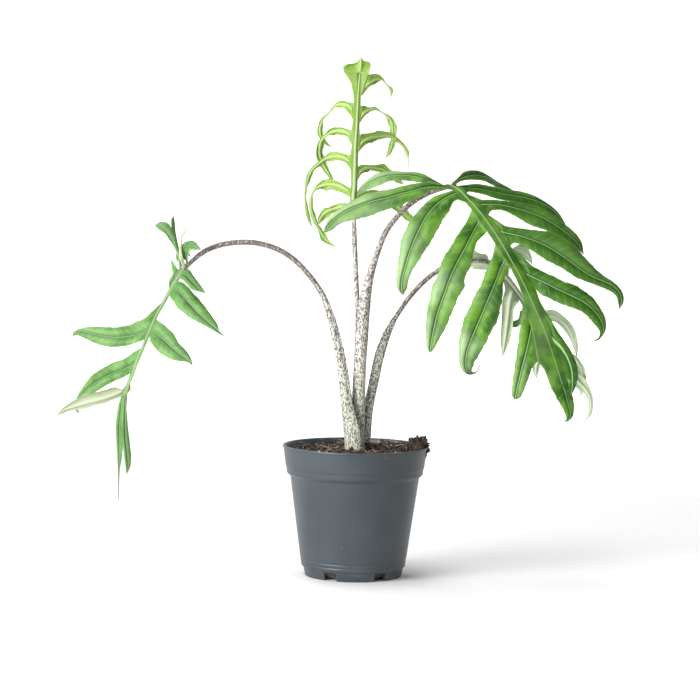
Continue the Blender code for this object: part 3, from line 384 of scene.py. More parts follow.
leaves = {
    "left": dict(
        petiole=[(-3.4, -2, 86.3, 4.5), (-4, -2, 105, 4.7), (-8.5, -2, 146, 4.7), (-14, -2, 181, 4.3),
                 (-23.5, -4, 217, 3.2), (-32, -6, 236, 2.2), (-57, -10, 263, 2.2), (-83, -14, 273, 2.2),
                 (-109, -17, 272, 2.2), (-125, -19, 266, 2.2), (-137, -20, 256, 1.7)],
        sheath=(0.05, 0.52), inner=(1, 0, 0.2),
        rachis=[(-140.3, -21, 251.9), (-144.2, -22, 245.8), (-151.1, -25, 233.2), (-157.6, -27, 221),
                (-163, -29, 210.5), (-168.1, -31, 198.4), (-172.9, -33, 186.2), (-176.6, -35, 176.6),
                (-180.8, -36.5, 163.6), (-184.9, -38, 153.2), (-186.8, -38.5, 148.3)],
        wings=[[(0.002, 2.4), (0.088, 2.2), (0.237, 2.1), (0.327, 1.6), (0.467, 2.6), (0.605, 0.4),
                (0.673, 1.2), (0.848, 2.3), (0.963, 1.9)],
               [(0.02, 1), (0.112, 2.5), (0.222, 2.5), (0.417, 2.1), (0.563, 3), (0.755, 2.4), (0.872, 1.7),
                (0.973, 1.3)]],
        rib=1.6, flare=7, faces=((-0.6, -0.6, 0.6), (-0.5, -0.8, 0.1)),
        shape=dict(wave=0.05, waves=1.5, ragged=0.035),
        tip=dict(face=(-0.2, -1, 0),
                 points=[(-188, -38, 141.7, 1.7, 3.1), (-189.2, -37, 132.7, 2.7, 3.3),
                         (-190, -36, 120.3, 3.5, 3), (-190.2, -35, 108, 3.5, 2.2),
                         (-190.1, -34.3, 95.7, 2.1, 1.4), (-190.2, -34.5, 83.5, 0, 0.7),
                         (-190.3, -35.2, 71.3, 0, 0.3), (-190.1, -36, 61.6, 0, 0)]),
        left=[
            lobe(0.042, (0.03, 0.053), (1, -0.6, 0),
                 [(-145.3, -14, 258.1, 3.6, 1.8), (-148, -9, 266, 3.2, 2.8), (-150.2, -3, 273.9, 4.1, 2.5),
                  (-152.3, 3, 282.7, 3.8, 2.4), (-153.6, 8, 289.2, 2.7, 3), (-153.1, 12, 293.2, 0, 0)],
                 flare=(9.3, 7.8)),
            lobe(0.075, (0.065, 0.09), (0.1, -1, 0.3),
                 [(-145.7, -20, 257.5, 0, 1.7), (-149.3, -17, 267, 0, 1.8), (-153.5, -12, 275.4, 1.8, 3.4),
                  (-158, -7, 281.2, 2.3, 5.5), (-163.3, -3, 284.7, 2.9, 5.1), (-168.1, 0, 285.8, 0, 0)],
                 flare=(9.2, 10.2)),
            lobe(0.108, (0.12, 0.202), (-0.5, -1, 0.2),
                 [(-146.5, -19, 250.1, 4.6, 14), (-148.9, -18, 246.4, 2.9, 3.8),
                  (-151, -16.5, 241, 1.9, 3.7), (-152.8, -15, 235.6, 1.5, 2.1), (-153.9, -14, 231.4, 0, 0)],
                 flare=(5.6, 5.6)),
            lobe(0.51, (0.328, 0.603), (0, -1, 0.3),
                 [(-174.2, -25, 199.5, 7.2, 11.5), (-181.1, -20, 196.5, 7.2, 11),
                  (-189.6, -16, 194.5, 7.8, 9.7), (-198, -13, 193.7, 8.1, 8.8),
                  (-206.5, -10, 194.1, 7.9, 8), (-215.1, -6.5, 195.4, 6.7, 6.9),
                  (-223.8, -2.5, 197.4, 5.4, 4.1), (-230.8, 1, 197.4, 3.8, 1.2), (-234, 3, 195.2, 2.3, 0.8),
                  (-234.9, 4, 191.8, 0, 0)], flare=(9.9, 4)),
            lobe(0.742, (0.662, 0.842), (-0.4, -1, 0.2),
                 [(-184.2, -27, 171.7, 6.6, 9.1), (-191.1, -22, 167.9, 6.2, 8.9),
                  (-199.7, -17, 164.1, 6.4, 8.4), (-207.4, -13, 160.3, 6.8, 7.4),
                  (-214.3, -9.5, 155.7, 6.8, 7.1), (-221.2, -6.5, 150.4, 6.5, 4.8),
                  (-226.2, -5, 145.2, 5.6, 3), (-229.5, -4, 139.3, 3.8, 1.8),
                  (-230.2, -4.5, 133.5, 1.8, 1.3), (-226.8, -5, 129.1, 0, 0)], flare=(15.4, 4)),
            lobe(0.913, (0.87, 0.972), (-0.2, 0.7, 0.7),
                 [(-191.4, -34, 151.9, 8.4, 6.7), (-199.7, -31, 147.7, 9.9, 6.8),
                  (-208.1, -28.5, 144.5, 10.6, 6.9), (-216.4, -26, 142.1, 9.9, 6.4),
                  (-224.9, -23, 139.1, 7.3, 5.8), (-233.3, -20.5, 136.3, 4.3, 4.2),
                  (-240.1, -18, 133, 1.8, 3.1), (-244.7, -17, 128.7, 0, 0)], flare=(11, 4), twist=0.08),
        ],
        right=[
            lobe(0.02, (0.01, 0.032), (0, -1, 0.3),
                 [(-141.6, -27, 261.9, 3.4, 2.2), (-141, -31, 266.9, 3.4, 4), (-138, -34, 269.8, 8.7, 4.6),
                  (-134.5, -37, 270.4, 4.1, 4.4), (-130.3, -39.5, 269, 1.8, 2.2),
                  (-126.5, -42, 267.7, 0, 0)], flare=(10, 4)),
            lobe(0.052, (0.04, 0.063), (0.9, 0.5, 0),
                 [(-143.6, -27, 258.6, 3, 4), (-144.3, -29, 265.9, 3, 3.4), (-144.3, -31, 272.4, 2.5, 2.6),
                  (-143.3, -32.5, 278.2, 0, 1.8), (-141.5, -34, 282.3, 3.2, 2.9),
                  (-138.8, -36, 284.8, 0, 0)], flare=(9.4, 11)),
            lobe(0.093, (0.072, 0.12), (0.3, -0.9, 0.5),
                 [(-139.4, -32, 246.3, 5.9, 5.5), (-135, -36, 242.2, 4.9, 4.5),
                  (-130.7, -39.5, 238.4, 5, 3.5), (-126.4, -43, 235.4, 2.4, 2.2),
                  (-122.2, -46, 233.2, 0, 0)], flare=(4, 4)),
            lobe(0.193, (0.153, 0.258), (0.2, -1, 0.4),
                 [(-142.3, -34, 230.6, 8.8, 8), (-137.1, -38, 225.3, 10, 8.6), (-131.9, -42, 220, 8.2, 8.5),
                  (-126.8, -45, 215.4, 6.5, 7.5), (-120.8, -49, 210.9, 4.9, 5.8),
                  (-114.9, -52.5, 206.5, 3.3, 3.8), (-109.9, -55.5, 202.8, 2.2, 0),
                  (-104.9, -58, 198.6, 0, 0)], flare=(7.5, 4)),
            lobe(0.513, (0.447, 0.563), (0.1, -1, 0.4),
                 [(-160.1, -38, 197.4, 8.6, 9.4), (-154, -42, 192.9, 10.1, 9),
                  (-148.8, -46, 188.5, 9.3, 6.9), (-143.7, -49, 184.8, 7.8, 6.2),
                  (-138.7, -51.5, 181.8, 5.1, 4.9), (-134.5, -54, 178.9, 1.8, 2.5),
                  (-131, -56.5, 175.2, 0.5, 0), (-127.7, -58, 171.3, 0, 0)], flare=(6, 4)),
            lobe(0.963, (0.925, 0.985), (0.4, -1, 0),
                 [(-185.8, -45, 145.7, 1.8, 0), (-185.9, -47, 136.2, 2, 1.5),
                  (-185.5, -49, 123.5, 2.5, 2.5), (-184.5, -51, 111.6, 2.8, 3.4),
                  (-183.1, -52.5, 101.3, 2.8, 3.1), (-182.3, -53.5, 93.3, 2.2, 1.9),
                  (-183.5, -54, 86.1, 0, 0)], flare=(9.7, 5.3)),
        ],
    ),
    "upright": dict(
        petiole=[(-3, 9.7, 86.3, 2.9), (-3, 9.7, 105, 2.8), (-2, 9.8, 136, 2.6), (-0.5, 10, 169, 2.4),
                 (0, 10.5, 210, 2.2), (-2, 10.5, 243, 2.1), (-4, 11, 276, 2.1), (-5, 12, 299, 1.7)],
        sheath=(0, 0.3), inner=(0, -1, 0),
        rachis=[(-5.8, 13, 307.5), (-4.9, 14, 321.5), (-4.8, 15.5, 338), (-4.7, 17, 352.8),
                (-3.8, 19.5, 373.4), (-3.4, 21.5, 391.5), (-2.8, 23, 403.8), (-2.1, 24, 413.7)],
        wings=[[(0, 3.8), (0.088, 2.6), (0.195, 2.9), (0.303, 3.5), (0.417, 3.9), (0.482, 3.3),
                (0.595, 4.2), (0.662, 3.4), (0.797, 3.2), (0.868, 4.6), (0.93, 7.2), (0.983, 11.5),
                (1, 13.6)],
               [(0, 3.4), (0.092, 3.6), (0.198, 2.5), (0.318, 2.5), (0.412, 2.7), (0.55, 3.2), (0.628, 2.2),
                (0.763, 2.8), (0.828, 2.4), (1, 7.4)]],
        rib=2.6, flare=6, faces=((0, 1, 0.15), (0, 1, -0.1)), shape=dict(wave=0.12, waves=3, ragged=0.13),
        tip=dict(face=(0, 1, -0.1),
                 points=[(-1.8, 24.4, 417, 7.8, 14.5), (-1.7, 24.7, 419.5, 8.1, 14.2),
                         (-1.6, 25, 421.3, 8.3, 8.5), (-1.6, 25.2, 422.8, 8.5, 3.8),
                         (-1.5, 25.6, 424.9, 2.2, 2), (-1.4, 26, 427.4, 0, 0)]),
        left=[
            lobe(0.047, (0.012, 0.068), (0, 0.8, 0.6),
                 [(-14.1, 18, 304, 2.7, 4.9), (-20.7, 22, 302.2, 3.4, 4.2), (-27.3, 26, 299.1, 3.5, 4.8),
                  (-32.2, 28, 294.4, 2.5, 4.5), (-34.6, 29, 287.7, 0, 0)], flare=(4, 4)),
            lobe(0.132, (0.11, 0.175), (-0.4, 0.8, 0.2),
                 [(-12.7, 19, 318.5, 2.3, 4.2), (-18.6, 24, 320.8, 3.3, 4.5), (-25.3, 29, 321.9, 4, 4.8),
                  (-31.9, 33, 320.9, 3.6, 5.3), (-37, 37, 318.3, 1.2, 3.9), (-39.9, 40, 314.4, 0.5, 0),
                  (-41.1, 42, 308.1, 1.4, 1.9), (-41, 43, 301.4, 1.3, 1.9), (-39.2, 43.5, 294.8, 1.9, 2.4),
                  (-36.6, 43.5, 289, 1.6, 2), (-33.5, 43, 283.2, 1.3, 2.4), (-29.6, 42.5, 277.4, 3.5, 2.6),
                  (-24.5, 42, 273.4, 2.5, 0), (-19, 42, 268.9, 0, 0)], flare=(6.5, 4)),
            lobe(0.34, (0.312, 0.412), (-0.5, 0.8, 0.2),
                 [(-11.5, 21, 342.8, 3.2, 3.1), (-17.4, 26, 344.8, 3.2, 3.5), (-24, 31, 344.7, 3.9, 3.8),
                  (-29.9, 35, 342.9, 2.2, 4.5), (-34.9, 39, 339.5, 1.7, 4.9), (-39.9, 42, 334.8, 1.5, 2.3),
                  (-43.2, 45, 328.9, 1.8, 3), (-45.2, 47.5, 320.5, 1.6, 1.8), (-45.9, 49.5, 312.1, 1.2, 0),
                  (-45.3, 51, 302.9, 1.3, 1.6), (-42.6, 52, 291.2, 1.2, 1.6), (-39.1, 52, 283.7, 0, 0)],
                 flare=(9.9, 4)),
            lobe(0.518, (0.49, 0.59), (-0.4, 0.8, 0.2),
                 [(-10.3, 22, 363.8, 2.8, 3), (-15.3, 26, 365.8, 2.8, 3.6), (-20.3, 30, 366.2, 3.3, 3.8),
                  (-25.3, 33, 364.9, 3.2, 4.1), (-29.4, 36, 362, 1.8, 0), (-33.1, 38, 358.2, 1.7, 3.1),
                  (-34.7, 39.5, 352.4, 3.1, 4.1), (-34.6, 40.5, 346.6, 3.4, 3.3),
                  (-32.4, 41.5, 340, 3, 3.6), (-28.1, 42, 332.6, 2.3, 2.1), (-23.8, 42, 325.1, 1.2, 1.6),
                  (-22.1, 42, 321.8, 0, 0)], flare=(9, 4)),
            lobe(0.692, (0.67, 0.785), (-0.4, 0.8, 0.2),
                 [(-9, 25, 385.3, 6.2, 4.4), (-12.4, 28, 387.4, 2.7, 4), (-16.6, 32, 388.2, 3, 3.3),
                  (-20.7, 35, 387.8, 1.9, 2.9), (-24.9, 38, 384.5, 0.8, 0), (-28.2, 41, 380.3, 0.8, 0),
                  (-31.9, 43, 376.2, 2, 0), (-34.3, 45, 369.9, 2.2, 2.4), (-34.6, 46, 364.1, 2.3, 2.5),
                  (-32.9, 46.5, 359.6, 1.7, 2.5), (-29.5, 47, 355.5, 1.2, 1.8), (-24, 47, 352.2, 0, 0)],
                 flare=(11.1, 4)),
        ],
        right=[
            lobe(0.088, (0.032, 0.125), (0.2, 0.9, 0.3),
                 [(1.5, 18, 312.2, 2.9, 4.4), (9.7, 23, 314.7, 3.1, 3.6), (20.6, 28, 312.8, 3.6, 5),
                  (29, 31, 307.1, 3.8, 4.5), (35.8, 33, 300.6, 3.8, 4.4), (42.7, 35, 293.6, 2.9, 3.1),
                  (46.1, 36, 289.9, 0, 0)], flare=(5.2, 4)),
            lobe(0.247, (0.24, 0.332), (0.2, 0.9, 0.4),
                 [(-0.6, 19, 332.7, 5.7, 2.5), (4.3, 23, 335.7, 3, 3.8), (10.1, 27, 336.6, 2.2, 4),
                  (16, 31, 335.9, 4.4, 3.9), (21, 34, 333.5, 4.2, 3.1), (26.1, 36, 329.9, 3.7, 2.7),
                  (31.2, 37, 326.2, 2.7, 2.9), (36.3, 37, 322.6, 0, 0)], flare=(10.3, 4)),
            lobe(0.447, (0.44, 0.555), (0.2, 0.9, 0.3),
                 [(1.4, 22, 357.5, 6.6, 3.6), (7.2, 26, 360.5, 4.3, 3.9), (13, 30, 362.3, 4.6, 4.1),
                  (19.6, 34, 363.3, 3.4, 2.7), (25.5, 37, 362.2, 2.3, 1.7), (30.6, 40, 358.6, 2.3, 1.6),
                  (35.7, 42, 354.2, 1.7, 1.5), (38.3, 43, 349.7, 2.1, 1.6), (39.7, 44, 343.9, 0, 0.8),
                  (40.1, 44, 338, 0, 0.7), (40.4, 43, 331.4, 0, 0)], flare=(11.6, 4)),
            lobe(0.655, (0.648, 0.763), (0.35, 0.85, 0.2),
                 [(1.8, 24, 381.4, 7.4, 2.6), (6.7, 28, 383.6, 2.5, 1.6), (11.7, 31, 384.6, 1.6, 1.1),
                  (16.7, 34, 382.7, 0, 1.3), (21.8, 36, 378.7, 1.6, 1.7), (25.2, 37, 373.8, 3.6, 3.9),
                  (26.2, 38, 367.6, 3.8, 2.7), (26.4, 38, 361, 2.7, 2), (25.2, 38, 354.4, 2.8, 2.3),
                  (23.3, 37, 348.5, 1.8, 2), (20, 36, 343.9, 0, 0)], flare=(11.1, 4)),
            lobe(0.878, (0.842, 0.993), (0.4, 0.8, 0.3),
                 [(4.6, 26, 405.3, 10.3, 3.1), (10.4, 30, 408.9, 5.8, 3.6), (16.2, 34, 409.5, 1.7, 1.9),
                  (20.4, 37, 406, 0, 1.3), (23.9, 39, 400.8, 1.9, 1.5), (24, 39, 394.1, 0, 0.7),
                  (21.7, 38, 387.4, 0, 0)], flare=(16.6, 4)),
        ],
    ),
    "front": dict(
        petiole=[(3.6, 4.6, 86.3, 4.2), (3.4, 4.6, 106, 4.3), (3, 4.4, 128, 4.4), (3, 3.6, 149, 4.5),
                 (3, 2.2, 173, 4.7), (4, 1, 196, 5), (5.5, -1, 224, 4.9), (9, -2, 246, 3.4),
                 (14, -5, 264, 2.5), (22, -10, 285, 2.3), (38, -19, 305, 2.2), (54, -25, 316, 2.2),
                 (71, -31, 322, 1.7)],
        sheath=(0.1, 0.62), inner=(-1, 0, 0.2),
        rachis=[(71.5, -38, 322.1), (77.4, -43, 318.7), (85.3, -50, 311), (93.9, -57, 301.7),
                (103.4, -63, 289.3), (112.2, -68, 276.1), (121, -72, 261.4), (130, -74, 245.1),
                (139, -76, 226.4), (147.2, -77, 208.4), (155.7, -77, 185.6), (161.7, -76.5, 168.2)],
        wings=[[(0, 3), (0.08, 1.1), (0.142, 3.5), (0.207, 4.2), (0.313, 4.8), (0.375, 4.7), (0.478, 3.5),
                (0.552, 3.9), (0.625, 5.5), (0.878, 14), (0.905, 10.7), (0.997, 9.7)],
               [(0.048, 1.3), (0.078, 4.6), (0.117, 3.8), (0.238, 5.5), (0.395, 6), (0.62, 7.9),
                (0.672, 6.9), (1, 5.8)]],
        rib=3, flare=9, faces=((0.1, -0.6, 0.75), (0.35, -0.95, 0.1)),
        shape=dict(wave=0.05, waves=2, ragged=0.055),
        tip=dict(face=(0.3, -1, 0.1),
                 points=[(163.9, -76, 162.6, 5.3, 9.1), (166.2, -75, 154.6, 5.4, 6.7),
                         (168.4, -74, 146.6, 4.2, 4.6), (169.1, -73, 141.7, 1.8, 3.6),
                         (166.9, -72, 138, 0, 1.7), (162.9, -72, 138.7, 0, 0)]),
        left=[
            lobe(0.002, (0, 0.048), (0, -0.62, 0.78),
                 [(64.1, -30, 323.6, 4.5, 3.5), (56.1, -24, 326.6, 6, 3.9), (46.5, -18, 329.2, 6.6, 5.8),
                  (35.3, -11, 330.2, 8, 6.3), (24, -4, 329.5, 8.5, 7.4), (14.3, 1, 326.9, 8.2, 7.3),
                  (6.2, 4, 322.6, 6.4, 5.4), (0.6, 6, 317.6, 4.4, 3.1), (-2.6, 6, 311.8, 0, 0)],
                 flare=(4, 4.3)),
            lobe(0.063, (0.052, 0.082), (-0.1, -0.85, 0.5),
                 [(63.6, -45, 321.6, 2.6, 2.9), (55.6, -46, 321.5, 3.7, 4.2), (47.6, -47, 319.8, 6.7, 6),
                  (39.7, -47, 317.6, 9, 6.8), (31.8, -47, 315.5, 10.5, 7.1), (23.8, -47, 312.9, 10.7, 7.4),
                  (15.9, -47, 310.8, 10.9, 8.2), (7.9, -46, 308.6, 11.5, 7.8), (0, -45, 305.7, 11.2, 7),
                  (-8, -44, 302.3, 10.1, 6.3), (-15.9, -43, 297.7, 7.9, 5), (-21.4, -42, 292.8, 5.9, 4.4),
                  (-26.1, -42, 287.1, 4.1, 2.5), (-28.5, -42, 283, 0, 0)], flare=(4.7, 5.3)),
            lobe(0.1, (0.085, 0.16), (-0.3, -0.9, 0.3),
                 [(70.8, -50, 314.7, 7.2, 4.2), (63.6, -53, 310.2, 11.7, 6.9), (56.5, -56, 303.3, 14, 8.1),
                  (51.8, -58, 296.9, 14.6, 9.2), (48.7, -60, 290.6, 14.1, 10.3),
                  (45.7, -61, 284.2, 13.2, 10.1), (41.9, -62, 274.6, 11.5, 9.8),
                  (38.9, -63, 265.8, 9.8, 7.9), (36.7, -63, 257.1, 7, 6.8), (34.5, -62, 247.4, 5.4, 5.1),
                  (34.3, -61, 240.2, 4.6, 3.1), (35.6, -60, 235, 0, 0)], flare=(4, 4)),
            lobe(0.245, (0.2, 0.313), (-0.2, -1, 0.15),
                 [(92.3, -63, 290.7, 9.5, 8.7), (87.6, -66, 281.9, 6.5, 9.8), (83.7, -69, 274, 8, 10.6),
                  (78.3, -71, 263.7, 10.9, 11.4), (73.7, -73, 254.2, 11, 10.7),
                  (70.7, -74, 246.3, 13.4, 9.9), (68.4, -75, 239.2, 11.8, 11.2),
                  (65.4, -76, 230.5, 11.2, 9.7), (62.4, -77, 221, 10.9, 8.7), (60.3, -77, 210.7, 8.4, 6.9),
                  (58.5, -77, 200.3, 5.2, 4.6), (57.9, -77, 194, 2.7, 2.6), (57.6, -77, 190.4, 0, 0)],
                 flare=(8.2, 4)),
            lobe(0.437, (0.375, 0.475), (-0.2, -1, 0.1),
                 [(112.3, -73, 259.7, 5.6, 9.8), (109.2, -75, 251.1, 6, 9.9), (105.4, -77, 241.6, 9.1, 9.8),
                  (101.6, -79, 232.2, 11.8, 10.8), (97.7, -81, 222.7, 13.1, 11.3),
                  (93.2, -83, 211.7, 12.6, 11.5), (89.4, -84, 202.2, 11.7, 9.7),
                  (86.5, -84, 192.7, 10.2, 7), (85.6, -82, 184.6, 6.8, 5.3), (87, -79, 178.1, 5.7, 3.3),
                  (91.2, -75, 175, 1.7, 1.2), (95.2, -73, 176.9, 0, 0.8), (96.7, -73, 181.7, 0, 0.8),
                  (94.6, -74, 185.7, 0, 0)], flare=(8, 4)),
            lobe(0.695, (0.618, 0.887), (-0.1, -1, 0.1),
                 [(137.6, -77.5, 214.6, 8.9, 9.2), (135.4, -79, 203.6, 8.9, 8.3),
                  (133.2, -80.5, 193.3, 8.9, 7.3), (130.3, -81, 181.4, 7.8, 5.9),
                  (128.1, -81, 171.1, 6.8, 5), (126.4, -81, 162.4, 5.3, 3.8), (125.8, -80, 157.5, 3.8, 2.9),
                  (125.5, -79.5, 155.1, 0, 0)], flare=(37.2, 4)),
        ],
        right=[
            lobe(0.047, (0.025, 0.063), (0.2, -0.5, 0.8),
                 [(79.4, -28, 327.9, 2.7, 1.9), (87.8, -18, 331.2, 6.6, 6), (97.2, -9, 331.4, 11, 8.7),
                  (105.7, -2, 329.1, 9.9, 4.1), (114.3, 4, 325.5, 7.1, 0), (123, 10, 321.1, 6.5, 0),
                  (131.7, 15, 315.9, 0, 0)], flare=(4, 4)),
            lobe(0.078, (0.067, 0.118), (0.3, -0.62, 0.7),
                 [(84.8, -38, 321.2, 4.1, 3.9), (96.2, -33, 320.6, 5.7, 6), (108.6, -28, 318.4, 8.6, 7),
                  (121, -24, 316.1, 7.4, 6.4), (131, -21, 314.7, 7.2, 6), (140.9, -19, 312.4, 7.3, 5.2),
                  (150.9, -17, 308.5, 7.8, 3.8), (160.1, -15, 302.2, 6.4, 2.4), (167.8, -13, 293, 0, 0)],
                 flare=(5.5, 4)),
            lobe(0.187, (0.128, 0.253), (0.35, -0.78, 0.52),
                 [(102.8, -52, 308.9, 6.7, 4.7), (112.4, -51, 308.3, 5.4, 5), (123.7, -50, 306.1, 7.7, 6.5),
                  (135.8, -49, 302.7, 10.5, 7.5), (147.9, -49, 297.8, 10.5, 7.6),
                  (158.4, -50, 291.6, 8.8, 7.4), (168, -51, 284.7, 6.1, 6.8), (174.5, -52, 278.4, 3.5, 4.4),
                  (179.4, -53, 269.8, 0, 0)], flare=(9.9, 4)),
            lobe(0.312, (0.257, 0.41), (0.3, -0.92, 0.3),
                 [(115.3, -65, 286.8, 8.2, 6.3), (127.1, -66.5, 284.3, 7.5, 7.4),
                  (139, -68, 280.6, 8.6, 10.3), (150.9, -69, 275.3, 10.4, 13), (162.9, -70, 267.7, 9, 13.6),
                  (175, -70, 259.2, 8.3, 11), (184.7, -69, 253.4, 6.1, 8), (194.4, -68, 249.6, 5.4, 4.4),
                  (202.6, -67, 245.4, 4.8, 3.1), (207.6, -66, 239.9, 3.9, 2.7), (209, -65, 233.5, 3, 2),
                  (207.3, -64, 227, 0, 0)], flare=(15.6, 4)),
            lobe(0.505, (0.415, 0.603), (0.25, -0.95, 0.25),
                 [(135.2, -76, 253.2, 10.4, 8.6), (147, -78, 248, 10.2, 8.1), (157.2, -80, 243.1, 9.7, 8.1),
                  (168.2, -81, 238.3, 9.8, 9.3), (178.5, -82, 233, 8, 8.3), (186.7, -81, 226, 7.2, 6.1),
                  (192.1, -80, 218.2, 6, 4.1), (194.1, -78, 211, 3.3, 1.8), (192.4, -76, 205.3, 1.8, 0),
                  (188.7, -75, 202.7, 1.4, 0), (184.7, -75, 204.2, 0, 0)], flare=(22.6, 4)),
            lobe(0.773, (0.663, 0.992), (0.35, -0.93, 0.15),
                 [(152.7, -79, 205.5, 3, 7.3), (159.8, -81, 199.4, 3, 5.3), (164.6, -82, 192.5, 3, 5.3),
                  (168.4, -82, 183.9, 3, 5.4), (170.3, -81, 174.3, 3, 4.7), (170.3, -79, 165.4, 2.9, 3),
                  (169.4, -78, 159, 0, 0)], flare=(53.4, 4)),
        ],
    ),
    "right": dict(
        petiole=[(8.6, 12.6, 86.3, 3.6), (8.8, 12.6, 109, 3.7), (10.5, 13, 137, 3.8), (14, 14, 157, 4),
                 (19, 15, 182, 4.1), (25, 17, 200, 3.3), (31, 19, 212, 2.1), (43, 23, 230, 2.1),
                 (61, 30, 248, 2.1), (80, 36, 258, 2.1), (109, 42, 259, 1.7)],
        sheath=(0.15, 0.6), inner=(-1, 0, 0.2),
        rachis=[(119, 47, 252), (129, 53, 241), (144, 60, 221), (159, 66, 199), (173, 71, 180),
                (184, 75, 164)],
        wings=[[(0.005, 2.2), (0.087, 2), (0.202, 2.3), (0.255, 3.3), (0.372, 2.2), (0.438, 2.5),
                (0.655, 2.7), (0.848, 2.8), (1, 2.2)],
               [(0, 2.8), (0.075, 2.7), (0.203, 3.4), (0.427, 3), (0.645, 3.2), (0.837, 2.8),
                (0.995, 2.5)]],
        rib=2, flare=9, faces=((-0.5, 0.9, 0), (-0.5, 0.8, -0.1)),
        shape=dict(wave=0.06, waves=2, ragged=0.035),
        tip=dict(face=(0.3, 1, 0.3),
                 points=[(189.9, 76.5, 157.8, 4, 6.5), (195.2, 77.5, 153.1, 4.7, 5.1),
                         (199.3, 78.2, 147.9, 3, 3.4), (201.8, 78.9, 141.5, 2.2, 2.6),
                         (202.4, 78.9, 135.5, 2.2, 1.9), (201.1, 78.6, 129.5, 1.6, 1.6),
                         (198.6, 78.3, 124.3, 1.2, 0), (195.7, 78, 120.6, 0, 0)]),
        left=[
            lobe(0.04, (0.01, 0.08), (0.2, 0.5, 0.8),
                 [(107.3, 45, 258.6, 6.8, 3.5), (103, 44, 261.5, 12.8, 6.1), (97, 41, 264, 11.8, 8.5),
                  (91.7, 37.5, 267.4, 9.5, 6.6), (85.6, 33.5, 270.8, 5, 5.7), (80.4, 30, 274.9, 0, 0)],
                 flare=(4, 4)),
            lobe(0.262, (0.168, 0.357), (-0.2, 1, 0.1),
                 [(128, 50, 229.8, 9.4, 6.6), (126.5, 48.5, 220.6, 5.2, 6), (125.7, 47.5, 210.5, 5.5, 5.2),
                  (124.8, 47, 200.4, 5.2, 4.4), (123.6, 47, 190.3, 3.9, 3.2), (122.2, 47, 178.5, 0, 0)],
                 flare=(10.6, 4)),
            lobe(0.41, (0.373, 0.435), (0, -0.6, 0.8),
                 [(138.8, 55, 217.1, 2.3, 2.1), (137.2, 54.5, 210.8, 2.4, 3.1),
                  (134.4, 55, 207.7, 3.8, 4.4), (130.5, 54.5, 207.4, 2.9, 4.2), (127, 53, 210.2, 0, 0)],
                 flare=(6.2, 5.4)),
            lobe(0.653, (0.612, 0.688), (-0.2, 1, 0.1),
                 [(155.7, 61, 183.1, 3.3, 3.7), (153, 60, 175.5, 3.2, 3.7), (151.7, 60, 168.7, 3.3, 3.1),
                  (152.6, 59, 159.9, 0, 0)], flare=(16.1, 14.4)),
        ],
        right=[
            lobe(0.115, (0.057, 0.183), (0.2, 0.6, 0.8),
                 [(124.4, 51, 261.7, 7.2, 4.5), (128.8, 55.5, 266.7, 13.2, 11.9),
                  (134, 60, 269.1, 14.3, 12.2), (139.4, 64, 267.4, 8.2, 5.6), (144, 67, 262.7, 4.8, 3),
                  (147.3, 70, 256.8, 0, 0)], flare=(4.6, 10.3)),
            lobe(0.577, (0.512, 0.663), (0.4, 0.8, 0.4),
                 [(161.7, 71.5, 213.2, 7, 6.4), (168.7, 74.5, 212.3, 6.4, 5.6),
                  (175, 77.5, 208.4, 5.4, 4.9), (180.5, 80.5, 202.7, 5.1, 4), (184.4, 83, 194.9, 3.7, 3.7),
                  (187, 84, 186.3, 2.6, 2.7), (188.1, 84, 177.7, 0, 0)], flare=(8.9, 12.8)),
            lobe(0.85, (0.783, 0.943), (0.5, 0.8, 0.2),
                 [(184.5, 79, 178.1, 9.7, 2.6), (190.1, 83, 171.8, 5.5, 3.1), (193.4, 86, 164.8, 5, 3.2),
                  (195.1, 88, 156.9, 4.3, 2.7), (194.7, 89.3, 149.9, 3.6, 2), (191.8, 90, 142.8, 0, 0)],
                 flare=(7.5, 8.8)),
        ],
    ),
}


bladeBuild = dict(thickness=0.45, rowStep=2.0, rise=2.4, riseStart=1.3, groove=0.35, droop=0.010,
                  ribSwell=1.2, ribTaper=0.6, edgeStep=1.6, tubeStep=2.0, tubeEnd=0.6, tubeSides=14,
                  arch=0.10, grooveHalf=0.7, swellHalf=0.8, fadeIn=0.2, fadeOut=0.15)
noRib = 9.0  # stands for the distance from a lobe's rib at points that belong to no lobe
columnShares = [0, 0.04, 0.10, 0.18, 0.28, 0.40, 0.52, 0.64, 0.76, 0.87, 0.95, 1.0]
bothSides = [-x for x in columnShares[:0:-1]] + columnShares
ribColumns = [0.0, 0.35, 0.75, 1.2]  # millimetres out from the line of the main rib
wingColumns = [0.3, 0.6, 0.85]  # shares of the way from there to the margin


def stemPath(leaf):
    return makePath([point[:3] for point in leaf["petiole"] + leaf["rachis"] + leaf["tip"]["points"]])


def riseAt(share):
    # how far the blade's upper face lies above the line of its rib
    start, full = bladeBuild["riseStart"], bladeBuild["rise"]
    return start + (full - start) * smoothstep(share / 0.1)


def newSheet():
    return dict(points=[], place=[], stalk=[], thick=[], turned=[], faces=[], now=0.0)


def addPoint(sheet, point, place, stalk=0.0, thick=0.0):
    sheet["points"].append(point)
    sheet["place"].append(place)
    sheet["stalk"].append(stalk)
    sheet["turned"].append(sheet["now"])
    sheet["thick"].append(bladeBuild["thickness"] + thick)
    return len(sheet["points"]) - 1


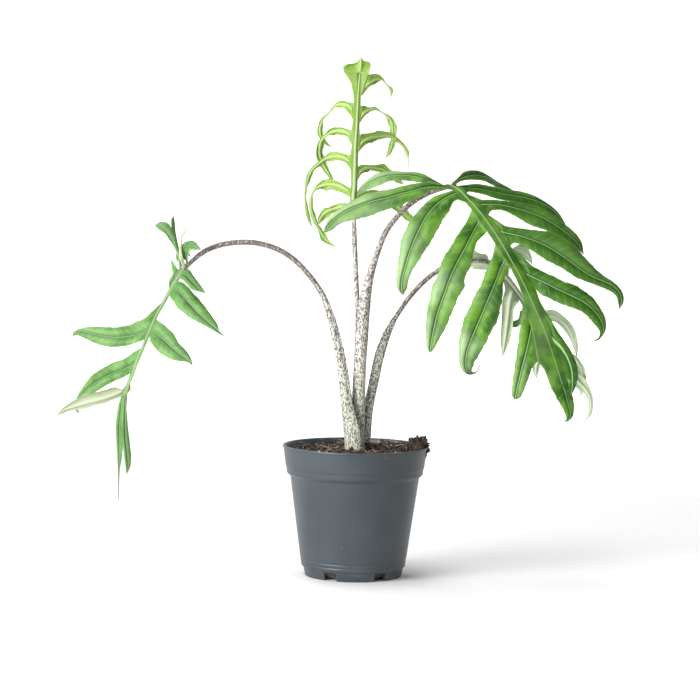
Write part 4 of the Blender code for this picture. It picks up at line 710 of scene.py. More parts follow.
def bridgeRows(sheet, first, second, flip, firstAt=None, secondAt=None):
    # fills between two rows of points, walking both by their places
    firstAt = firstAt or [i / max(len(first) - 1, 1) for i in range(len(first))]
    secondAt = secondAt or [i / max(len(second) - 1, 1) for i in range(len(second))]
    i = j = 0
    while i < len(first) - 1 or j < len(second) - 1:
        nextFirst = firstAt[i + 1] if i < len(first) - 1 else math.inf
        nextSecond = secondAt[j + 1] if j < len(second) - 1 else math.inf
        if abs(nextFirst - nextSecond) < 1e-9:
            face = (first[i], second[j], second[j + 1], first[i + 1])
            i += 1
            j += 1
        elif nextFirst < nextSecond:
            face = (first[i], second[j], first[i + 1])
            i += 1
        else:
            face = (first[i], second[j], second[j + 1])
            j += 1
        sheet["faces"].append(face[::-1] if flip else face)


def raggedEdge(share, seed):
    # small dents and swellings of a margin
    return (0.5 * math.sin(2 * math.pi * (6.1 * share + seed))
            + 0.4 * math.sin(2 * math.pi * (14.7 * share + 2.3 * seed))
            + 0.3 * math.sin(2 * math.pi * (27.1 * share + 3.1 * seed)))


def growLobe(sheet, leaf, part, root, startHint, foot, distal, flip, seed, start=0.0):
    # foot holds the first row, already in the sheet, as its points, their numbers and their shares across
    path = makePath([root] + part["points"])
    length = path["length"]
    look = leaf["shape"]
    flareFar, flareNear = part.get("flare") or (leaf["flare"], leaf["flare"])
    rowCount = max(10, round(length * (1 - start) / bladeBuild["rowStep"]))
    face = unit(np.array(part["face"], float))
    normal = sense = None
    last, lastAt = foot["numbers"], foot["at"]
    corners = foot["points"][-1], foot["points"][0]
    for i in range(1, rowCount):
        share = start + (1 - start) * i / rowCount
        heading = pathHeading(path, share * length)
        toward = smoothstep(share / part.get("twist", 0.4))
        normal = facing((1 - toward) * startHint + toward * face, heading, normal)
        side = np.cross(heading, normal)
        if sense is None:
            sense = 1 if np.dot(side, distal) > 0 else -1
        centre = pathAt(path, share * length)
        past = (share - start) * length
        fade = smoothstep((share - start) / bladeBuild["fadeIn"])
        fade = fade * smoothstep((1 - share) / bladeBuild["fadeOut"])
        row = []
        for x in bothSides:
            half = max(centre[3 if x > 0 else 4], 0.05)
            joined = smoothstep(2.5 * past / (flareFar if x > 0 else flareNear) - 1.5)
            ripple = math.sin(2 * math.pi * look["waves"] * share + 1.7 * x + 4 * seed) * look["wave"]
            frill = math.sin(2 * math.pi * 3.1 * look["waves"] * share + 2.9 * x + 5 * seed)
            frill = frill * 0.3 * look["wave"]
            vault = bladeBuild["arch"] * math.sin(math.pi * abs(x))
            lift = 2 * half * (vault + (ripple * x * x + frill * x ** 4) * fade)
            away = abs(x) * half
            lift -= bladeBuild["groove"] * math.exp(-(away / bladeBuild["grooveHalf"]) ** 2) * (1 - share)
            edge = 1 + look["ragged"] * raggedEdge(share, seed + (0.37 if x > 0 else 0)) * x * x * fade
            swell = bladeBuild["ribSwell"] * (1 - share) ** 0.7
            swell = swell * math.exp(-(away / bladeBuild["swellHalf"]) ** 2)
            corner = corners[0 if x > 0 else 1] - centre[:3]  # the margin starts from here
            out = (1 - joined) * abs(x) * corner + joined * x * half * edge * sense * side
            row.append(addPoint(sheet, centre[:3] + out + normal * lift * joined,
                                (x * half, share * length, abs(x)), 0.0, swell))
        bridgeRows(sheet, last, row, flip, lastAt, bothSides)
        last, lastAt = row, bothSides
    end = [addPoint(sheet, pathAt(path, length)[:3], (0, length, 0))]
    bridgeRows(sheet, last, end, flip)


def bladeSheet(leaf):
    # the upper surface: the main rib with its wings, a lobe at each place, and the end lobe
    axis = stemPath(leaf)
    stems = len(leaf["petiole"])
    begin = axis["stops"][stems - 1]
    end = axis["stops"][stems - 1 + len(leaf["rachis"])]
    length = end - begin
    faceFrom, faceTo = (unit(np.array(face, float)) for face in leaf["faces"])

    def frameAt(share):
        place = begin + share * length
        heading = pathHeading(axis, place)
        normal = facing((1 - share) * faceFrom + share * faceTo, heading)
        rise = riseAt(share)
        return pathAt(axis, place)[:3] + rise * normal, heading, normal, np.cross(heading, normal)

    def outAt(share, sign, wing, out):
        # a point that lies the share "out" of the way from the rib to the margin
        point, _, normal, side = frameAt(share)
        rib = ribColumns[-1] * (1 - bladeBuild["ribTaper"] * share)
        width = max(np.interp(share, *zip(*wing)), rib + 0.4)
        across = rib + out * (width - rib)
        return point + sign * side * across - normal * bladeBuild["droop"] * across ** 2

    sheet = newSheet()
    count = round(length / bladeBuild["edgeStep"])
    shares = [i / count for i in range(count + 1)]
    wings = {}
    for which, lobes in enumerate((leaf["left"], leaf["right"])):
        middle = lobes[len(lobes) // 2]
        root, _, _, side = frameAt(middle["place"])
        sign = 1 if np.dot(np.array(middle["points"][0][:3]) - root, side) > 0 else -1
        wings[sign] = (lobes, leaf["wings"][which], which)
    lines = {}
    for sign in (-1, 1):
        for away in ribColumns:
            if not away and sign > 0:
                lines[1, 0.0] = lines[-1, 0.0]
                continue
            line = []
            for share in shares:
                point, _, normal, side = frameAt(share)
                shrink = 1 - bladeBuild["ribTaper"] * share
                dip = 1.4 * math.exp(-(away / 0.5) ** 2) - 0.7 * math.exp(-((away - 0.75) / 0.3) ** 2)
                dip = bladeBuild["groove"] * dip
                stalk = 1.0 if away < 1 else 0.5
                line.append(addPoint(sheet, point + (sign * away * side - dip * normal) * shrink,
                                     (noRib, share * length, 0.5), stalk))
            lines[sign, away] = line
        for out in wingColumns:
            lines[sign, noRib + out] = [addPoint(sheet, outAt(share, sign, wings[sign][1], out),
                                             (noRib, share * length, out)) for share in shares]
        columns = ribColumns + [noRib + out for out in wingColumns]
        for inner, outer in zip(columns, columns[1:]):
            bridgeRows(sheet, lines[sign, inner], lines[sign, outer], sign < 0)
    ends = {}
    for sign, (lobes, wing, which) in sorted(wings.items()):
        edge, edgeAt, last = [], [], 0.0
        sheet["now"] = 1.0 if which else -1.0
        for index, part in enumerate(lobes):
            low, high = part["span"]
            steps = max(1, round((low - last) * length / bladeBuild["edgeStep"]))
            for k in range(1 if index else 0, steps):
                share = last + (low - last) * k / steps
                edge.append(addPoint(sheet, outAt(share, sign, wing, 1), (noRib, share * length, 1.0)))
                edgeAt.append(share)
            place = min(max(part["place"], low + 0.1 * (high - low)), high - 0.1 * (high - low))
            at = [place + x * (high - place if x > 0 else place - low) for x in bothSides]
            spots = [outAt(share, sign, wing, 1) for share in at]
            numbers = [addPoint(sheet, spot, (noRib, 0, abs(x))) for spot, x in zip(spots, bothSides)]
            edge += numbers
            edgeAt += at
            middle = spots[len(columnShares) - 1]
            base, heading, normal, _ = frameAt(place)
            root = (*base, *part["points"][0][3:])
            start = np.linalg.norm(middle - base) / makePath([root] + part["points"])["length"]
            foot = dict(points=spots, numbers=numbers, at=bothSides)
            seed = 0.31 * index + 0.17 * which
            growLobe(sheet, leaf, part, root, normal, foot, heading, sign < 0, seed, start)
            last = high
        for k in range(1, 4):
            share = last + (1 - last) * k / 3
            edge.append(addPoint(sheet, outAt(share, sign, wing, 1), (noRib, share * length, 1.0)))
            edgeAt.append(share)
        bridgeRows(sheet, lines[sign, noRib + wingColumns[-1]], edge, sign < 0, shares, edgeAt)
        ends[sign] = edge[-1]
    sheet["now"] = 0.0
    base, _, normal, side = frameAt(1.0)
    rise = bladeBuild["rise"]
    tip = dict(leaf["tip"], points=[(*(np.array(point[:3]) + rise * normal), *point[3:])
                                    for point in leaf["tip"]["points"]])
    columns = ribColumns + [noRib + out for out in wingColumns]
    numbers = [ends[1]] + [lines[1, column][-1] for column in columns[:0:-1]]
    numbers += [lines[-1, column][-1] for column in columns] + [ends[-1]]
    points = [sheet["points"][number] for number in numbers]
    widths = {sign: np.linalg.norm(sheet["points"][ends[sign]] - base) for sign in (1, -1)}
    at = [-min(float(np.dot(p - base, side)) / widths[1], 1.0) if np.dot(p - base, side) > 0
          else min(-float(np.dot(p - base, side)) / widths[-1], 1.0) for p in points]
    at[0], at[-1] = -1.0, 1.0
    foot = dict(points=points, numbers=numbers, at=at)
    growLobe(sheet, leaf, tip, (*base, widths[-1], widths[1]), normal, foot, -side, False, 0.5)
    return sheet


def ribTube(name, leaf):
    # the rounded back of the main rib, which carries on the stem
    axis = stemPath(leaf)
    stems = len(leaf["petiole"])
    begin = axis["stops"][stems - 1]
    end = axis["stops"][stems - 1 + len(leaf["rachis"])]
    faceFrom, faceTo = (unit(np.array(face, float)) for face in leaf["faces"])
    scale = min(1.0, leaf["rib"] / 2.0)
    points, place = [], []
    count = round((end - begin) / bladeBuild["tubeStep"])
    for i in range(count + 1):
        share = i / count
        heading = pathHeading(axis, begin + share * (end - begin))
        normal = facing((1 - share) * faceFrom + share * faceTo, heading)
        side = np.cross(heading, normal)
        radius = leaf["petiole"][-1][3] * (1 - share) + bladeBuild["tubeEnd"] * share
        radius = max(radius * (scale if share > 0.1 else 1 - (1 - scale) * share / 0.1), 0.4)
        rise = riseAt(share)
        centre = pathAt(axis, begin + share * (end - begin))[:3]
        centre = centre + normal * max(rise - radius - 0.1, 0) * smoothstep(share / 0.15)
        for k in range(bladeBuild["tubeSides"]):
            turn = 2 * math.pi * k / bladeBuild["tubeSides"]
            points.append(centre + radius * (math.cos(turn) * normal + math.sin(turn) * side))
    mesh = meshOf(name, points, ringFaces(count + 1, bladeBuild["tubeSides"]))
    setAttribute(mesh, "stalk", [1.0] * len(points))
    setAttribute(mesh, "turned", [0.0] * len(points))
    setVectors(mesh, "leafPlace", [(noRib, 0, 0.5)] * len(points))
    return mesh


def setAttribute(mesh, name, values):
    made = mesh.attributes.new(name, "FLOAT", "POINT")
    made.data.foreach_set("value", np.array(values, dtype=np.float32))


def setVectors(mesh, name, values):
    made = mesh.attributes.new(name, "FLOAT_VECTOR", "POINT")
    made.data.foreach_set("vector", np.array(values, dtype=np.float32).ravel())


def turnOutward(mesh):
    work = bmesh.new()
    work.from_mesh(mesh)
    bmesh.ops.recalc_face_normals(work, faces=work.faces)
    work.to_mesh(mesh)
    work.free()


def buildBlade(key):
    leaf, look = leaves[key], leafLooks[key]
    top = leafFinish("leafTop_" + key, look, False)
    under = leafFinish("leafUnder_" + key, look, True)
    sheet = bladeSheet(leaf)
    mesh = meshOf("blade_" + key, sheet["points"], sheet["faces"])
    setVectors(mesh, "leafPlace", sheet["place"])
    setAttribute(mesh, "stalk", sheet["stalk"])
    setAttribute(mesh, "turned", sheet["turned"])
    blade = addObject("leafBlade_" + key, mesh, (top, under))
    thick = max(sheet["thick"])
    group = blade.vertex_groups.new(name="thick")
    for index, value in enumerate(sheet["thick"]):
        group.add([index], (value - bladeBuild["thickness"]) / (thick - bladeBuild["thickness"]), "REPLACE")
    solid = blade.modifiers.new("thickness", "SOLIDIFY")
    solid.thickness = thick * mm
    solid.vertex_group = "thick"
    solid.thickness_vertex_group = bladeBuild["thickness"] / thick
    solid.offset = -1
    solid.material_offset = 1
    bakeModifiers(blade)
    blade.vertex_groups.clear()
    tube = ribTube("rib_" + key, leaf)
    turnOutward(tube)
    for polygon in tube.polygons:
        polygon.material_index = 1
    rib = addObject("rib_" + key, tube, (top, under))
    joinPieces([blade, rib])
    return finishPiece(blade, "blade_" + key)


# channel and lip are the sheath's hollow and its two edges, as shares of the radius;
# wrapped is the stem whose lowest sheath bulges round the front of the next one
stemBuild = dict(sides=44, step=2.0, channel=0.50, channelWidth=0.40, lip=0.34, lipPlace=0.62,
                 lipWidth=0.16, ridge=0.012, ridges=9, sheathFade=25, wrapped="left", wrapReach=6.5,
                 wrapTurn=-0.55, wrapWidth=0.75, wrapEnds=(22, 62))


def buildStem(key):
    leaf = leaves[key]
    path = stemPath(leaf)
    radii = [point[3] for point in leaf["petiole"]]
    stops = path["stops"][:len(radii)]
    end = stops[-1]
    count = round(end / stemBuild["step"])
    inner = np.array(leaf["inner"], float)
    sheathFrom, sheathTo = (end * share for share in leaf["sheath"])
    points, rises = [], []
    across = None
    for i in range(count + 1):
        place = end * i / count
        heading = pathHeading(path, place) if i else np.array([0, 0, 1.0])
        across = facing(inner, heading, across)
        side = np.cross(heading, across)
        radius = np.interp(place, stops, radii)
        low, high = stemBuild["wrapEnds"]
        wrap = stemBuild["wrapReach"] if key == stemBuild["wrapped"] else 0
        wrap = wrap * (1 - smoothstep((place - low) / (high - low)))
        sheathed = smoothstep((place - sheathFrom) / stemBuild["sheathFade"])
        sheathed = sheathed * smoothstep((sheathTo - place) / 6)
        for k in range(stemBuild["sides"]):
            turn = 2 * math.pi * k / stemBuild["sides"]
            off = abs(math.remainder(turn, 2 * math.pi))
            dent = stemBuild["channel"] * math.exp(-(off / stemBuild["channelWidth"]) ** 2)
            lip = stemBuild["lip"] * math.exp(-((off - stemBuild["lipPlace"]) / stemBuild["lipWidth"]) ** 2)
            ridge = stemBuild["ridge"] * math.sin(stemBuild["ridges"] * turn)
            reach = radius * (1 + ridge + sheathed * (lip - dent))
            swing = math.remainder(turn - stemBuild["wrapTurn"], 2 * math.pi)
            reach += wrap * math.exp(-(swing / stemBuild["wrapWidth"]) ** 2)
            points.append(pathAt(path, place)[:3] + reach * (math.cos(turn) * across + math.sin(turn) * side))
            rises.append(i / count)
    mesh = meshOf("petiole_" + key, points, ringFaces(count + 1, stemBuild["sides"]))
    turnOutward(mesh)
    setAttribute(mesh, "rise", rises)
    stem = addObject("leafStalk_" + key, mesh, (stemFinish("stemMottle_" + key, stemLook, stemTints[key]),))
    return finishPiece(stem, "petiole_" + key)


for key in leaves:
    buildStem(key)
    buildBlade(key)
    print("leaf", key, "done")


# Pot: half outline (radius, height) in millimetres, from the floor inside over the lip to the feet

potShape = dict(rim=60.0, top=107.5, lip=1.4, proud=0.7, wall=1.4, steps=160, corner=0.35,
                inside=((40.2, 3.6), (51.8, 82.6), (54.8, 85.5), (57.9, 107.5)),
                collar=((57.1, 89.9), (56.6, 89.5), (56.2, 84.9)), wallTop=(53.2, 82.0),
                wallFoot=(43.0, 8.3), footTop=(41.6, 7.5), foot=40.1, footInner=37.4, floorUnder=2.0,
                grooves=(14.2, 11.0), grooveDepth=0.35, grooveHalf=0.6,
                feet=6, turn=3.0, notchWide=11.0, notchTop=6.8, notchInner=34.0, notchOuter=47.0)


def potRadius(z):
    # radius of the wall inside the pot
    radii, heights = zip(*potShape["inside"])
    return float(np.interp(z, heights, radii))


def potOutline(shape):
    def wall(z):
        (footRadius, footHeight), (topRadius, topHeight) = shape["wallFoot"], shape["wallTop"]
        return footRadius + (z - footHeight) / (topHeight - footHeight) * (topRadius - footRadius)

    top, rim, body = shape["top"], shape["rim"], shape["rim"] - shape["proud"]
    floor, bend, shelf, _ = (height for _, height in shape["inside"])
    line = [(0, floor)] + [(potRadius(z), z) for z in (floor, bend, shelf, top - shape["lip"])]
    line += [(body - shape["wall"] + 0.4, top), (rim, top), (rim, top - shape["lip"]),
             (body, top - shape["lip"] - 0.3), *shape["collar"], shape["wallTop"]]
    for z in shape["grooves"]:
        half = shape["grooveHalf"]
        line += [(wall(z + half), z + half), (wall(z) - shape["grooveDepth"], z), (wall(z - half), z - half)]
    inner, under = shape["footInner"], shape["floorUnder"]
    line += [shape["wallFoot"], shape["footTop"], (shape["foot"], 0), (inner, 0), (inner, under), (0, under)]
    return line


def roundCorners(line, reach):
    # each corner becomes a short curve that starts and ends a little way off it
    points = [np.array(line[0])]
    for before, corner, after in zip(line, line[1:], line[2:]):
        before, corner, after = (np.array(p, float) for p in (before, corner, after))
        ins = min(reach, np.linalg.norm(before - corner) * 0.45)
        out = min(reach, np.linalg.norm(after - corner) * 0.45)
        a = corner + unit(before - corner) * ins
        b = corner + unit(after - corner) * out
        points += [(1 - u) ** 2 * a + 2 * u * (1 - u) * corner + u * u * b for u in (0, 0.33, 0.67, 1)]
    return points + [np.array(line[-1])]


def potFinish():
    finish, tree, shader, where = newFinish("slatePlastic", 0.36)
    dust = remap(tree, patches(tree, where, 70, 6, 0.7), 0.50, 0.85)
    height = addNode(tree, "ShaderNodeSeparateXYZ", {0: where}).outputs[2]
    low = remap(tree, height, 0.0, 0.045, 1.0, 0.06)
    mark = compute(tree, "MULTIPLY", dust, low)
    specks = remap(tree, patches(tree, where, 480, 2), 0.70, 0.74)
    colour = blend(tree, remap(tree, patches(tree, where, 18, 2), 0.35, 0.65),
                   tint(0.028, 0.037, 0.044), tint(0.037, 0.048, 0.057))
    colour = blend(tree, compute(tree, "MULTIPLY", mark, 0.3), colour, tint(0.17, 0.15, 0.13))
    colour = blend(tree, compute(tree, "MULTIPLY", specks, low), colour, tint(0.22, 0.17, 0.12))
    tree.links.new(colour, shader.inputs["Base Color"])
    gloss = compute(tree, "MULTIPLY_ADD", patches(tree, where, 30, 4), 0.08, 0.36)
    tree.links.new(compute(tree, "MULTIPLY_ADD", mark, 0.15, gloss), shader.inputs["Roughness"])
    addBump(tree, shader, patches(tree, where, 700, 2), 0.00015, 0.25)
    return finish


def cutWith(piece, cutters):
    step = piece.modifiers.new("cut", "BOOLEAN")
    step.operation = "DIFFERENCE"
    step.operand_type = "COLLECTION"
    step.collection = cutters
    step.solver = "EXACT"
    bakeModifiers(piece)
    for used in list(cutters.objects):
        bpy.data.objects.remove(used, do_unlink=True)
    bpy.data.collections.remove(cutters)


def buildPot(shape):
    line = roundCorners(potOutline(shape), shape["corner"])
    mesh = bpy.data.meshes.new("pot")
    mesh.from_pydata([(r * mm, 0, z * mm) for r, z in line], [(i, i + 1) for i in range(len(line) - 1)], [])
    pot = addObject("nurseryPot", mesh, (potFinish(),))
    screw = pot.modifiers.new("turn", "SCREW")
    screw.steps = screw.render_steps = shape["steps"]
    screw.use_merge_vertices = True
    screw.merge_threshold = 0.00001
    bakeModifiers(pot)
    turnOutward(pot.data)
    cutters = bpy.data.collections.new("notches")
    stage.collection.children.link(cutters)
    wide, top, inner, outer = (shape[k] for k in ("notchWide", "notchTop", "notchInner", "notchOuter"))
    for i in range(shape["feet"]):
        angle = math.radians(shape["turn"] + (i + 0.5) * 360 / shape["feet"] - 90)
        out = np.array([math.cos(angle), math.sin(angle), 0])
        side = np.array([-math.sin(angle), math.cos(angle), 0])
        corners = [out * r + side * s * wide / 2 + np.array([0, 0, z])
                   for z in (-3, top) for r, s in ((inner, -1), (outer, -1), (outer, 1), (inner, 1))]
        box = meshOf("notch", corners, ringFaces(2, 4))
        cutters.objects.link(bpy.data.objects.new("notch", box))
    cutWith(pot, cutters)
    pot.data.shade_smooth()
    pot.data.set_sharp_from_angle(angle=math.radians(50))
    return finishPiece(pot, "pot")


buildPot(potShape)
print("pot done")


# Soil

# heap is (x, y, height, spread), and clear the gap that is left to the pot's wall
soilShape = dict(top=103.0, drop=3.0, heap=(37.0, 2.0, 5.0, 17.0), rings=64, sides=220, edge=98,
                 bends=(85.5, 82.6), foot=4.2, clear=0.3, clod=1.0)


def lumps(x, y, size):
    # a few crossed waves stand in for clods
    across = math.sin(x / size + 1.7 * math.sin(y / size * 0.8))
    return across * math.cos(y / size * 1.1 + math.sin(x / size * 1.3))


def soilHeight(x, y):
    shape = soilShape
    heapX, heapY, heapHeight, heapSpread = shape["heap"]
    heap = heapHeight * math.exp(-((x - heapX) ** 2 + (y - heapY) ** 2) / heapSpread ** 2)
    rough = 0.8 * math.sin(0.31 * x + 1.3) * math.cos(0.27 * y) + 0.5 * math.sin(0.53 * x - 0.61 * y)
    clod = shape["clod"] * (0.6 * lumps(x, y, 2.1) + 0.4 * lumps(x + 9, y - 4, 0.9))
    return shape["top"] + heap - shape["drop"] * smoothstep(-x / 50) + rough + clod


def soilFinish():
    finish, tree, shader, where = newFinish("pottingMix", 0.92)
    coarse = patches(tree, where, 260, 4, 0.7)
    fine = patches(tree, where, 900, 3)
    colour = blend(tree, remap(tree, coarse, 0.35, 0.65),
                   tint(0.008, 0.006, 0.005), tint(0.050, 0.034, 0.024))
    colour = blend(tree, remap(tree, fine, 0.60, 0.72), colour, tint(0.12, 0.085, 0.055))
    tree.links.new(colour, shader.inputs["Base Color"])
    addBump(tree, shader, compute(tree, "ADD", coarse, fine), 0.0012, 0.9)
    return finish


def buildSoil():
    rings, sides = soilShape["rings"], soilShape["sides"]
    rim = potRadius(soilShape["edge"]) - soilShape["clear"]
    points = [(0, 0, soilHeight(0, 0))]
    faces = [(0, 1 + k, 1 + (k + 1) % sides) for k in range(sides)]
    for i in range(1, rings + 1):
        for k in range(sides):
            turn = 2 * math.pi * k / sides
            x, y = rim * i / rings * math.cos(turn), rim * i / rings * math.sin(turn)
            points.append((x, y, soilHeight(x, y)))
    topCount = len(points)
    for z in (*soilShape["bends"], soilShape["foot"]):
        reach = potRadius(z) - soilShape["clear"]
        points += [(reach * math.cos(2 * math.pi * k / sides), reach * math.sin(2 * math.pi * k / sides), z)
                   for k in range(sides)]
    for i in range(rings + 2):
        a = 1 + i * sides
        faces += [(a + k, a + sides + k, a + sides + (k + 1) % sides, a + (k + 1) % sides)
                  for k in range(sides)]
    faces.append(tuple(len(points) - sides + k for k in range(sides))[::-1])
    mesh = meshOf("soil", points, faces)
    turnOutward(mesh)
    soil = addObject("pottingSoil", mesh, (soilFinish(),))
    bed = meshOf("bed", points[:topCount], [face for face in faces if max(face) < topCount])
    return finishPiece(soil, "soil"), addObject("bed", bed)


def speckFinish(name, dark, light, roughness):
    finish, tree, shader, where = newFinish(name, roughness)
    cloudy = patches(tree, where, 320, 4, 0.6)
    tree.links.new(blend(tree, remap(tree, cloudy, 0.35, 0.65), dark, light), shader.inputs["Base Color"])
    addBump(tree, shader, cloudy, 0.0006, 0.7)
    return finish


def inputOf(tree, name, kind, value):
    made = tree.interface.new_socket(name, in_out="INPUT", socket_type=kind)
    made.default_value = value
    return made.identifier


def scatter(bed, name, makeShape, look, finish):
    # strews one shape over the bed, turned and sized at random, by a tree with named inputs
    tree = bpy.data.node_groups.new(name, "GeometryNodeTree")
    tree.interface.new_socket("Bed", in_out="INPUT", socket_type="NodeSocketGeometry")
    tree.interface.new_socket("Result", in_out="OUTPUT", socket_type="NodeSocketGeometry")
    asked = {key: inputOf(tree, key, "NodeSocketInt" if key == "seed" else "NodeSocketFloat", look[key])
             for key in ("perSquareMetre", "smallest", "largest", "tilt", "lift", "seed")}
    given = addNode(tree, "NodeGroupInput").outputs
    spread = addNode(tree, "GeometryNodeDistributePointsOnFaces",
                     {"Mesh": given["Bed"], "Density": given["perSquareMetre"], "Seed": given["seed"]})
    lean = addNode(tree, "ShaderNodeCombineXYZ", {0: given["tilt"], 1: given["tilt"], 2: math.pi})
    back = addNode(tree, "ShaderNodeVectorMath", {0: lean.outputs[0], "Scale": -1.0}, operation="SCALE")
    spin = addNode(tree, "FunctionNodeRandomValue",
                   {0: back.outputs[0], 1: lean.outputs[0], "Seed": given["seed"]}, data_type="FLOAT_VECTOR")
    size = addNode(tree, "FunctionNodeRandomValue",
                   {2: given["smallest"], 3: given["largest"], "Seed": given["seed"]}, data_type="FLOAT")
    up = addNode(tree, "ShaderNodeCombineXYZ", {2: given["lift"]})
    raised = addNode(tree, "GeometryNodeSetPosition",
                     {"Geometry": spread.outputs["Points"], "Offset": up.outputs[0]})
    placed = addNode(tree, "GeometryNodeInstanceOnPoints",
                     {"Points": raised.outputs[0], "Instance": makeShape(tree),
                      "Rotation": spin.outputs[0], "Scale": size.outputs[1]})
    real = addNode(tree, "GeometryNodeRealizeInstances", {0: placed.outputs[0]})
    painted = addNode(tree, "GeometryNodeSetMaterial", {"Geometry": real.outputs[0], "Material": finish})
    end = addNode(tree, "NodeGroupOutput")
    tree.links.new(painted.outputs[0], end.inputs[0])
    piece = addObject(name, bed.data.copy())
    step = piece.modifiers.new("strew", "NODES")
    step.node_group = tree
    for key, identifier in asked.items():
        step[identifier] = look[key]
    bakeModifiers(piece)
    return finishPiece(piece, None)


def lumpShape(tree, start, bend, scale):
    # pushes a plain shape out of true with noise
    noise = addNode(tree, "ShaderNodeTexNoise", {"Scale": scale, "Detail": 1.0})
    off = addNode(tree, "ShaderNodeVectorMath", {0: noise.outputs["Color"], 1: (0.5, 0.5, 0.5)},
                  operation="SUBTRACT")
    push = addNode(tree, "ShaderNodeVectorMath", {0: off.outputs[0], "Scale": bend}, operation="SCALE")
    return addNode(tree, "GeometryNodeSetPosition", {"Geometry": start, "Offset": push.outputs[0]}).outputs[0]


def barkShape(tree):
    block = addNode(tree, "GeometryNodeMeshCube", {"Size": (0.009, 0.005, 0.0022)})
    split = addNode(tree, "GeometryNodeSubdivideMesh", {0: block.outputs[0], 1: 1})
    return lumpShape(tree, split.outputs[0], 0.0035, 260)


def perliteShape(tree):
    ball = addNode(tree, "GeometryNodeMeshIcoSphere", {"Radius": 0.0016, "Subdivisions": 2})
    return lumpShape(tree, ball.outputs[0], 0.0016, 700)


def crumbShape(tree):
    ball = addNode(tree, "GeometryNodeMeshIcoSphere", {"Radius": 0.0013, "Subdivisions": 1})
    return lumpShape(tree, ball.outputs[0], 0.0016, 600)


def fibreShape(tree):
    bow = addNode(tree, "GeometryNodeCurveQuadraticBezier",
                  {"Resolution": 9, "Start": (-0.008, 0, 0), "Middle": (0.001, 0.006, 0.007),
                   "End": (0.009, -0.002, 0.001)})
    section = addNode(tree, "GeometryNodeCurvePrimitiveCircle", {"Resolution": 5, "Radius": 0.00017})
    return addNode(tree, "GeometryNodeCurveToMesh", {0: bow.outputs[0], 1: section.outputs[0]}).outputs[0]


# what lies on the soil: its shape, how it is strewn, and its finish
strewn = {
    "soilCrumbs": (crumbShape, dict(perSquareMetre=90000.0, smallest=0.5, largest=1.6, tilt=3.0,
                                    lift=0.0003, seed=3),
                   ("crumbBrown", tint(0.007, 0.005, 0.004), tint(0.045, 0.032, 0.024), 0.95)),
    "barkChips": (barkShape, dict(perSquareMetre=4200.0, smallest=0.5, largest=1.2, tilt=0.6,
                                  lift=0.0009, seed=11),
                  ("barkRed", tint(0.018, 0.011, 0.009), tint(0.11, 0.058, 0.038), 0.85)),
    "perlite": (perliteShape, dict(perSquareMetre=700.0, smallest=0.4, largest=0.9, tilt=3.0,
                                   lift=0.0006, seed=5),
                ("perliteWhite", tint(0.42, 0.39, 0.34), tint(0.66, 0.63, 0.58), 0.9)),
    "rootFibres": (fibreShape, dict(perSquareMetre=9500.0, smallest=0.35, largest=1.0, tilt=0.8,
                                    lift=0.0010, seed=8),
                   ("fibreTan", tint(0.12, 0.075, 0.045), tint(0.55, 0.44, 0.32), 0.9)),
}

clods = {
    "soilClodRim": dict(place=(52.5, -5.0, 107.0), reach=(8.0, 7.5, 9.5), rough=0.28, chunk=2.6, detail=5),
    "soilClodMid": dict(place=(40.5, -3.0, 103.5), reach=(9.0, 8.0, 6.5), rough=0.28, chunk=2.3, detail=5),
}


def buildClod(name, look):
    # a dark lump of mix at the right of the rim
    work = bmesh.new()
    bmesh.ops.create_icosphere(work, subdivisions=look["detail"], radius=1)
    for vertex in work.verts:
        x, y, z = vertex.co
        x, y, z = x * look["reach"][0], y * look["reach"][1], z * look["reach"][2]
        chunk = look["chunk"]
        lumpy = lumps(x + z, y - z, chunk) + 0.6 * lumps(y + z, x - z, chunk / 2.2)
        push = 1 + look["rough"] * (lumpy + 0.4 * lumps(x - y, z + x, chunk / 5))
        vertex.co = [(at + c * push) * mm for at, c in zip(look["place"], (x, y, z))]
    mesh = bpy.data.meshes.new("clod")
    work.to_mesh(mesh)
    work.free()
    mesh.shade_smooth()
    turnOutward(mesh)
    return finishPiece(addObject(name, mesh, (soilFinish(),)), None)


for name, look in clods.items():
    buildClod(name, look)
soil, bed = buildSoil()
for name, (makeShape, look, paint) in strewn.items():
    scatter(bed, name, makeShape, look, speckFinish(*paint))
bpy.data.objects.remove(bed, do_unlink=True)
print("soil done")


def finishRootstock():
    slots = frame["nodes"]["rootstock"].data.materials
    slots.clear()
    slots.append(speckFinish("rootstockFibre", tint(0.12, 0.075, 0.04), tint(0.34, 0.24, 0.14), 0.9))


finishRootstock()


# Backdrop and light

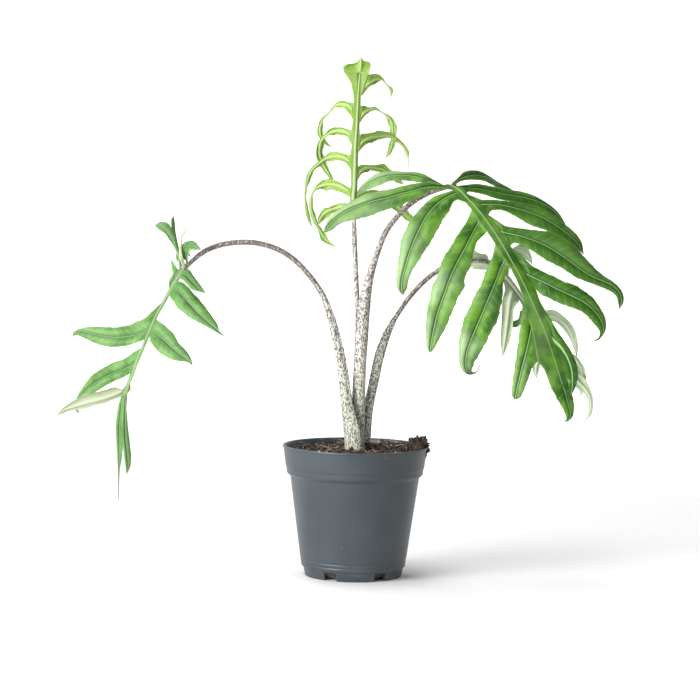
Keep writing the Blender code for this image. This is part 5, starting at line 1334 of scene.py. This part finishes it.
backdropLook = dict(flat=5.0, radius=7.0, height=4.5, sides=96,
                    colours=(tint(0.86, 0.86, 0.86), tint(0.88, 0.88, 0.88)))
roomGlow = 0.12
lights = {
    "windowLeft": dict(place=(-2.7, -1.9, 1.25), aim=(0, 0, 0.25), size=1.5, watts=112),
    "stripLow": dict(place=(-1.1, -1.5, 0.26), aim=(0, 0, 0.08), size=0.4, watts=20),
    "above": dict(place=(-0.5, -0.1, 3.2), aim=(0.1, 0, 0.2), size=1.9, watts=50),
    "behindLeft": dict(place=(-1.2, 2.4, 2.4), aim=(0, 0, 0.2), size=1.8, watts=26),
    "wallBack": dict(place=(0.8, 2.0, 2.8), aim=(0.8, 6.6, 0.4), size=2.2, watts=270),
    "wallLeft": dict(place=(-2.9, 0.4, 2.6), aim=(-7.0, 0.4, 1.6), size=2.0, watts=110),
    "wallFront": dict(place=(-0.6, -3.2, 2.9), aim=(-0.6, -7.0, 0.8), size=2.0, watts=150),
}


def buildBackdrop(look):
    sides = look["sides"]
    line = [(0.02, 0), (look["flat"], 0)]
    bend = look["radius"] - look["flat"]
    line += [(look["flat"] + bend * math.sin(a), bend * (1 - math.cos(a)))
             for a in np.linspace(0.2, math.pi / 2, 8)]
    line.append((look["radius"], look["height"]))
    points = [(r * math.cos(2 * math.pi * k / sides) / mm, r * math.sin(2 * math.pi * k / sides) / mm, z / mm)
              for r, z in line for k in range(sides)]
    mesh = meshOf("floor", points, ringFaces(len(line), sides, True, False))
    finish, tree, shader, where = newFinish("palePaper", 0.9)
    pale = blend(tree, patches(tree, where, 3, 2), *look["colours"])
    tree.links.new(pale, shader.inputs["Base Color"])
    floor = addObject("floor", mesh, (finish,))


def buildLights(lamps):
    for name, look in lamps.items():
        lamp = bpy.data.lights.new(name, "AREA")
        lamp.shape = "DISK"
        lamp.size = look["size"]
        lamp.energy = look["watts"]
        made = bpy.data.objects.new(name, lamp)
        made.location = look["place"]
        made.rotation_mode = "QUATERNION"
        made.rotation_quaternion = (Vector(look["aim"]) - made.location).to_track_quat("-Z", "Y")
        stage.collection.objects.link(made)
    world = bpy.data.worlds.new("room")
    world.use_nodes = True
    world.node_tree.nodes["Background"].inputs["Color"].default_value = tint(1, 1, 1)
    world.node_tree.nodes["Background"].inputs["Strength"].default_value = roomGlow
    stage.world = world
    stage.view_settings.view_transform = "Standard"


buildBackdrop(backdropLook)
buildLights(lights)
print("light ready")
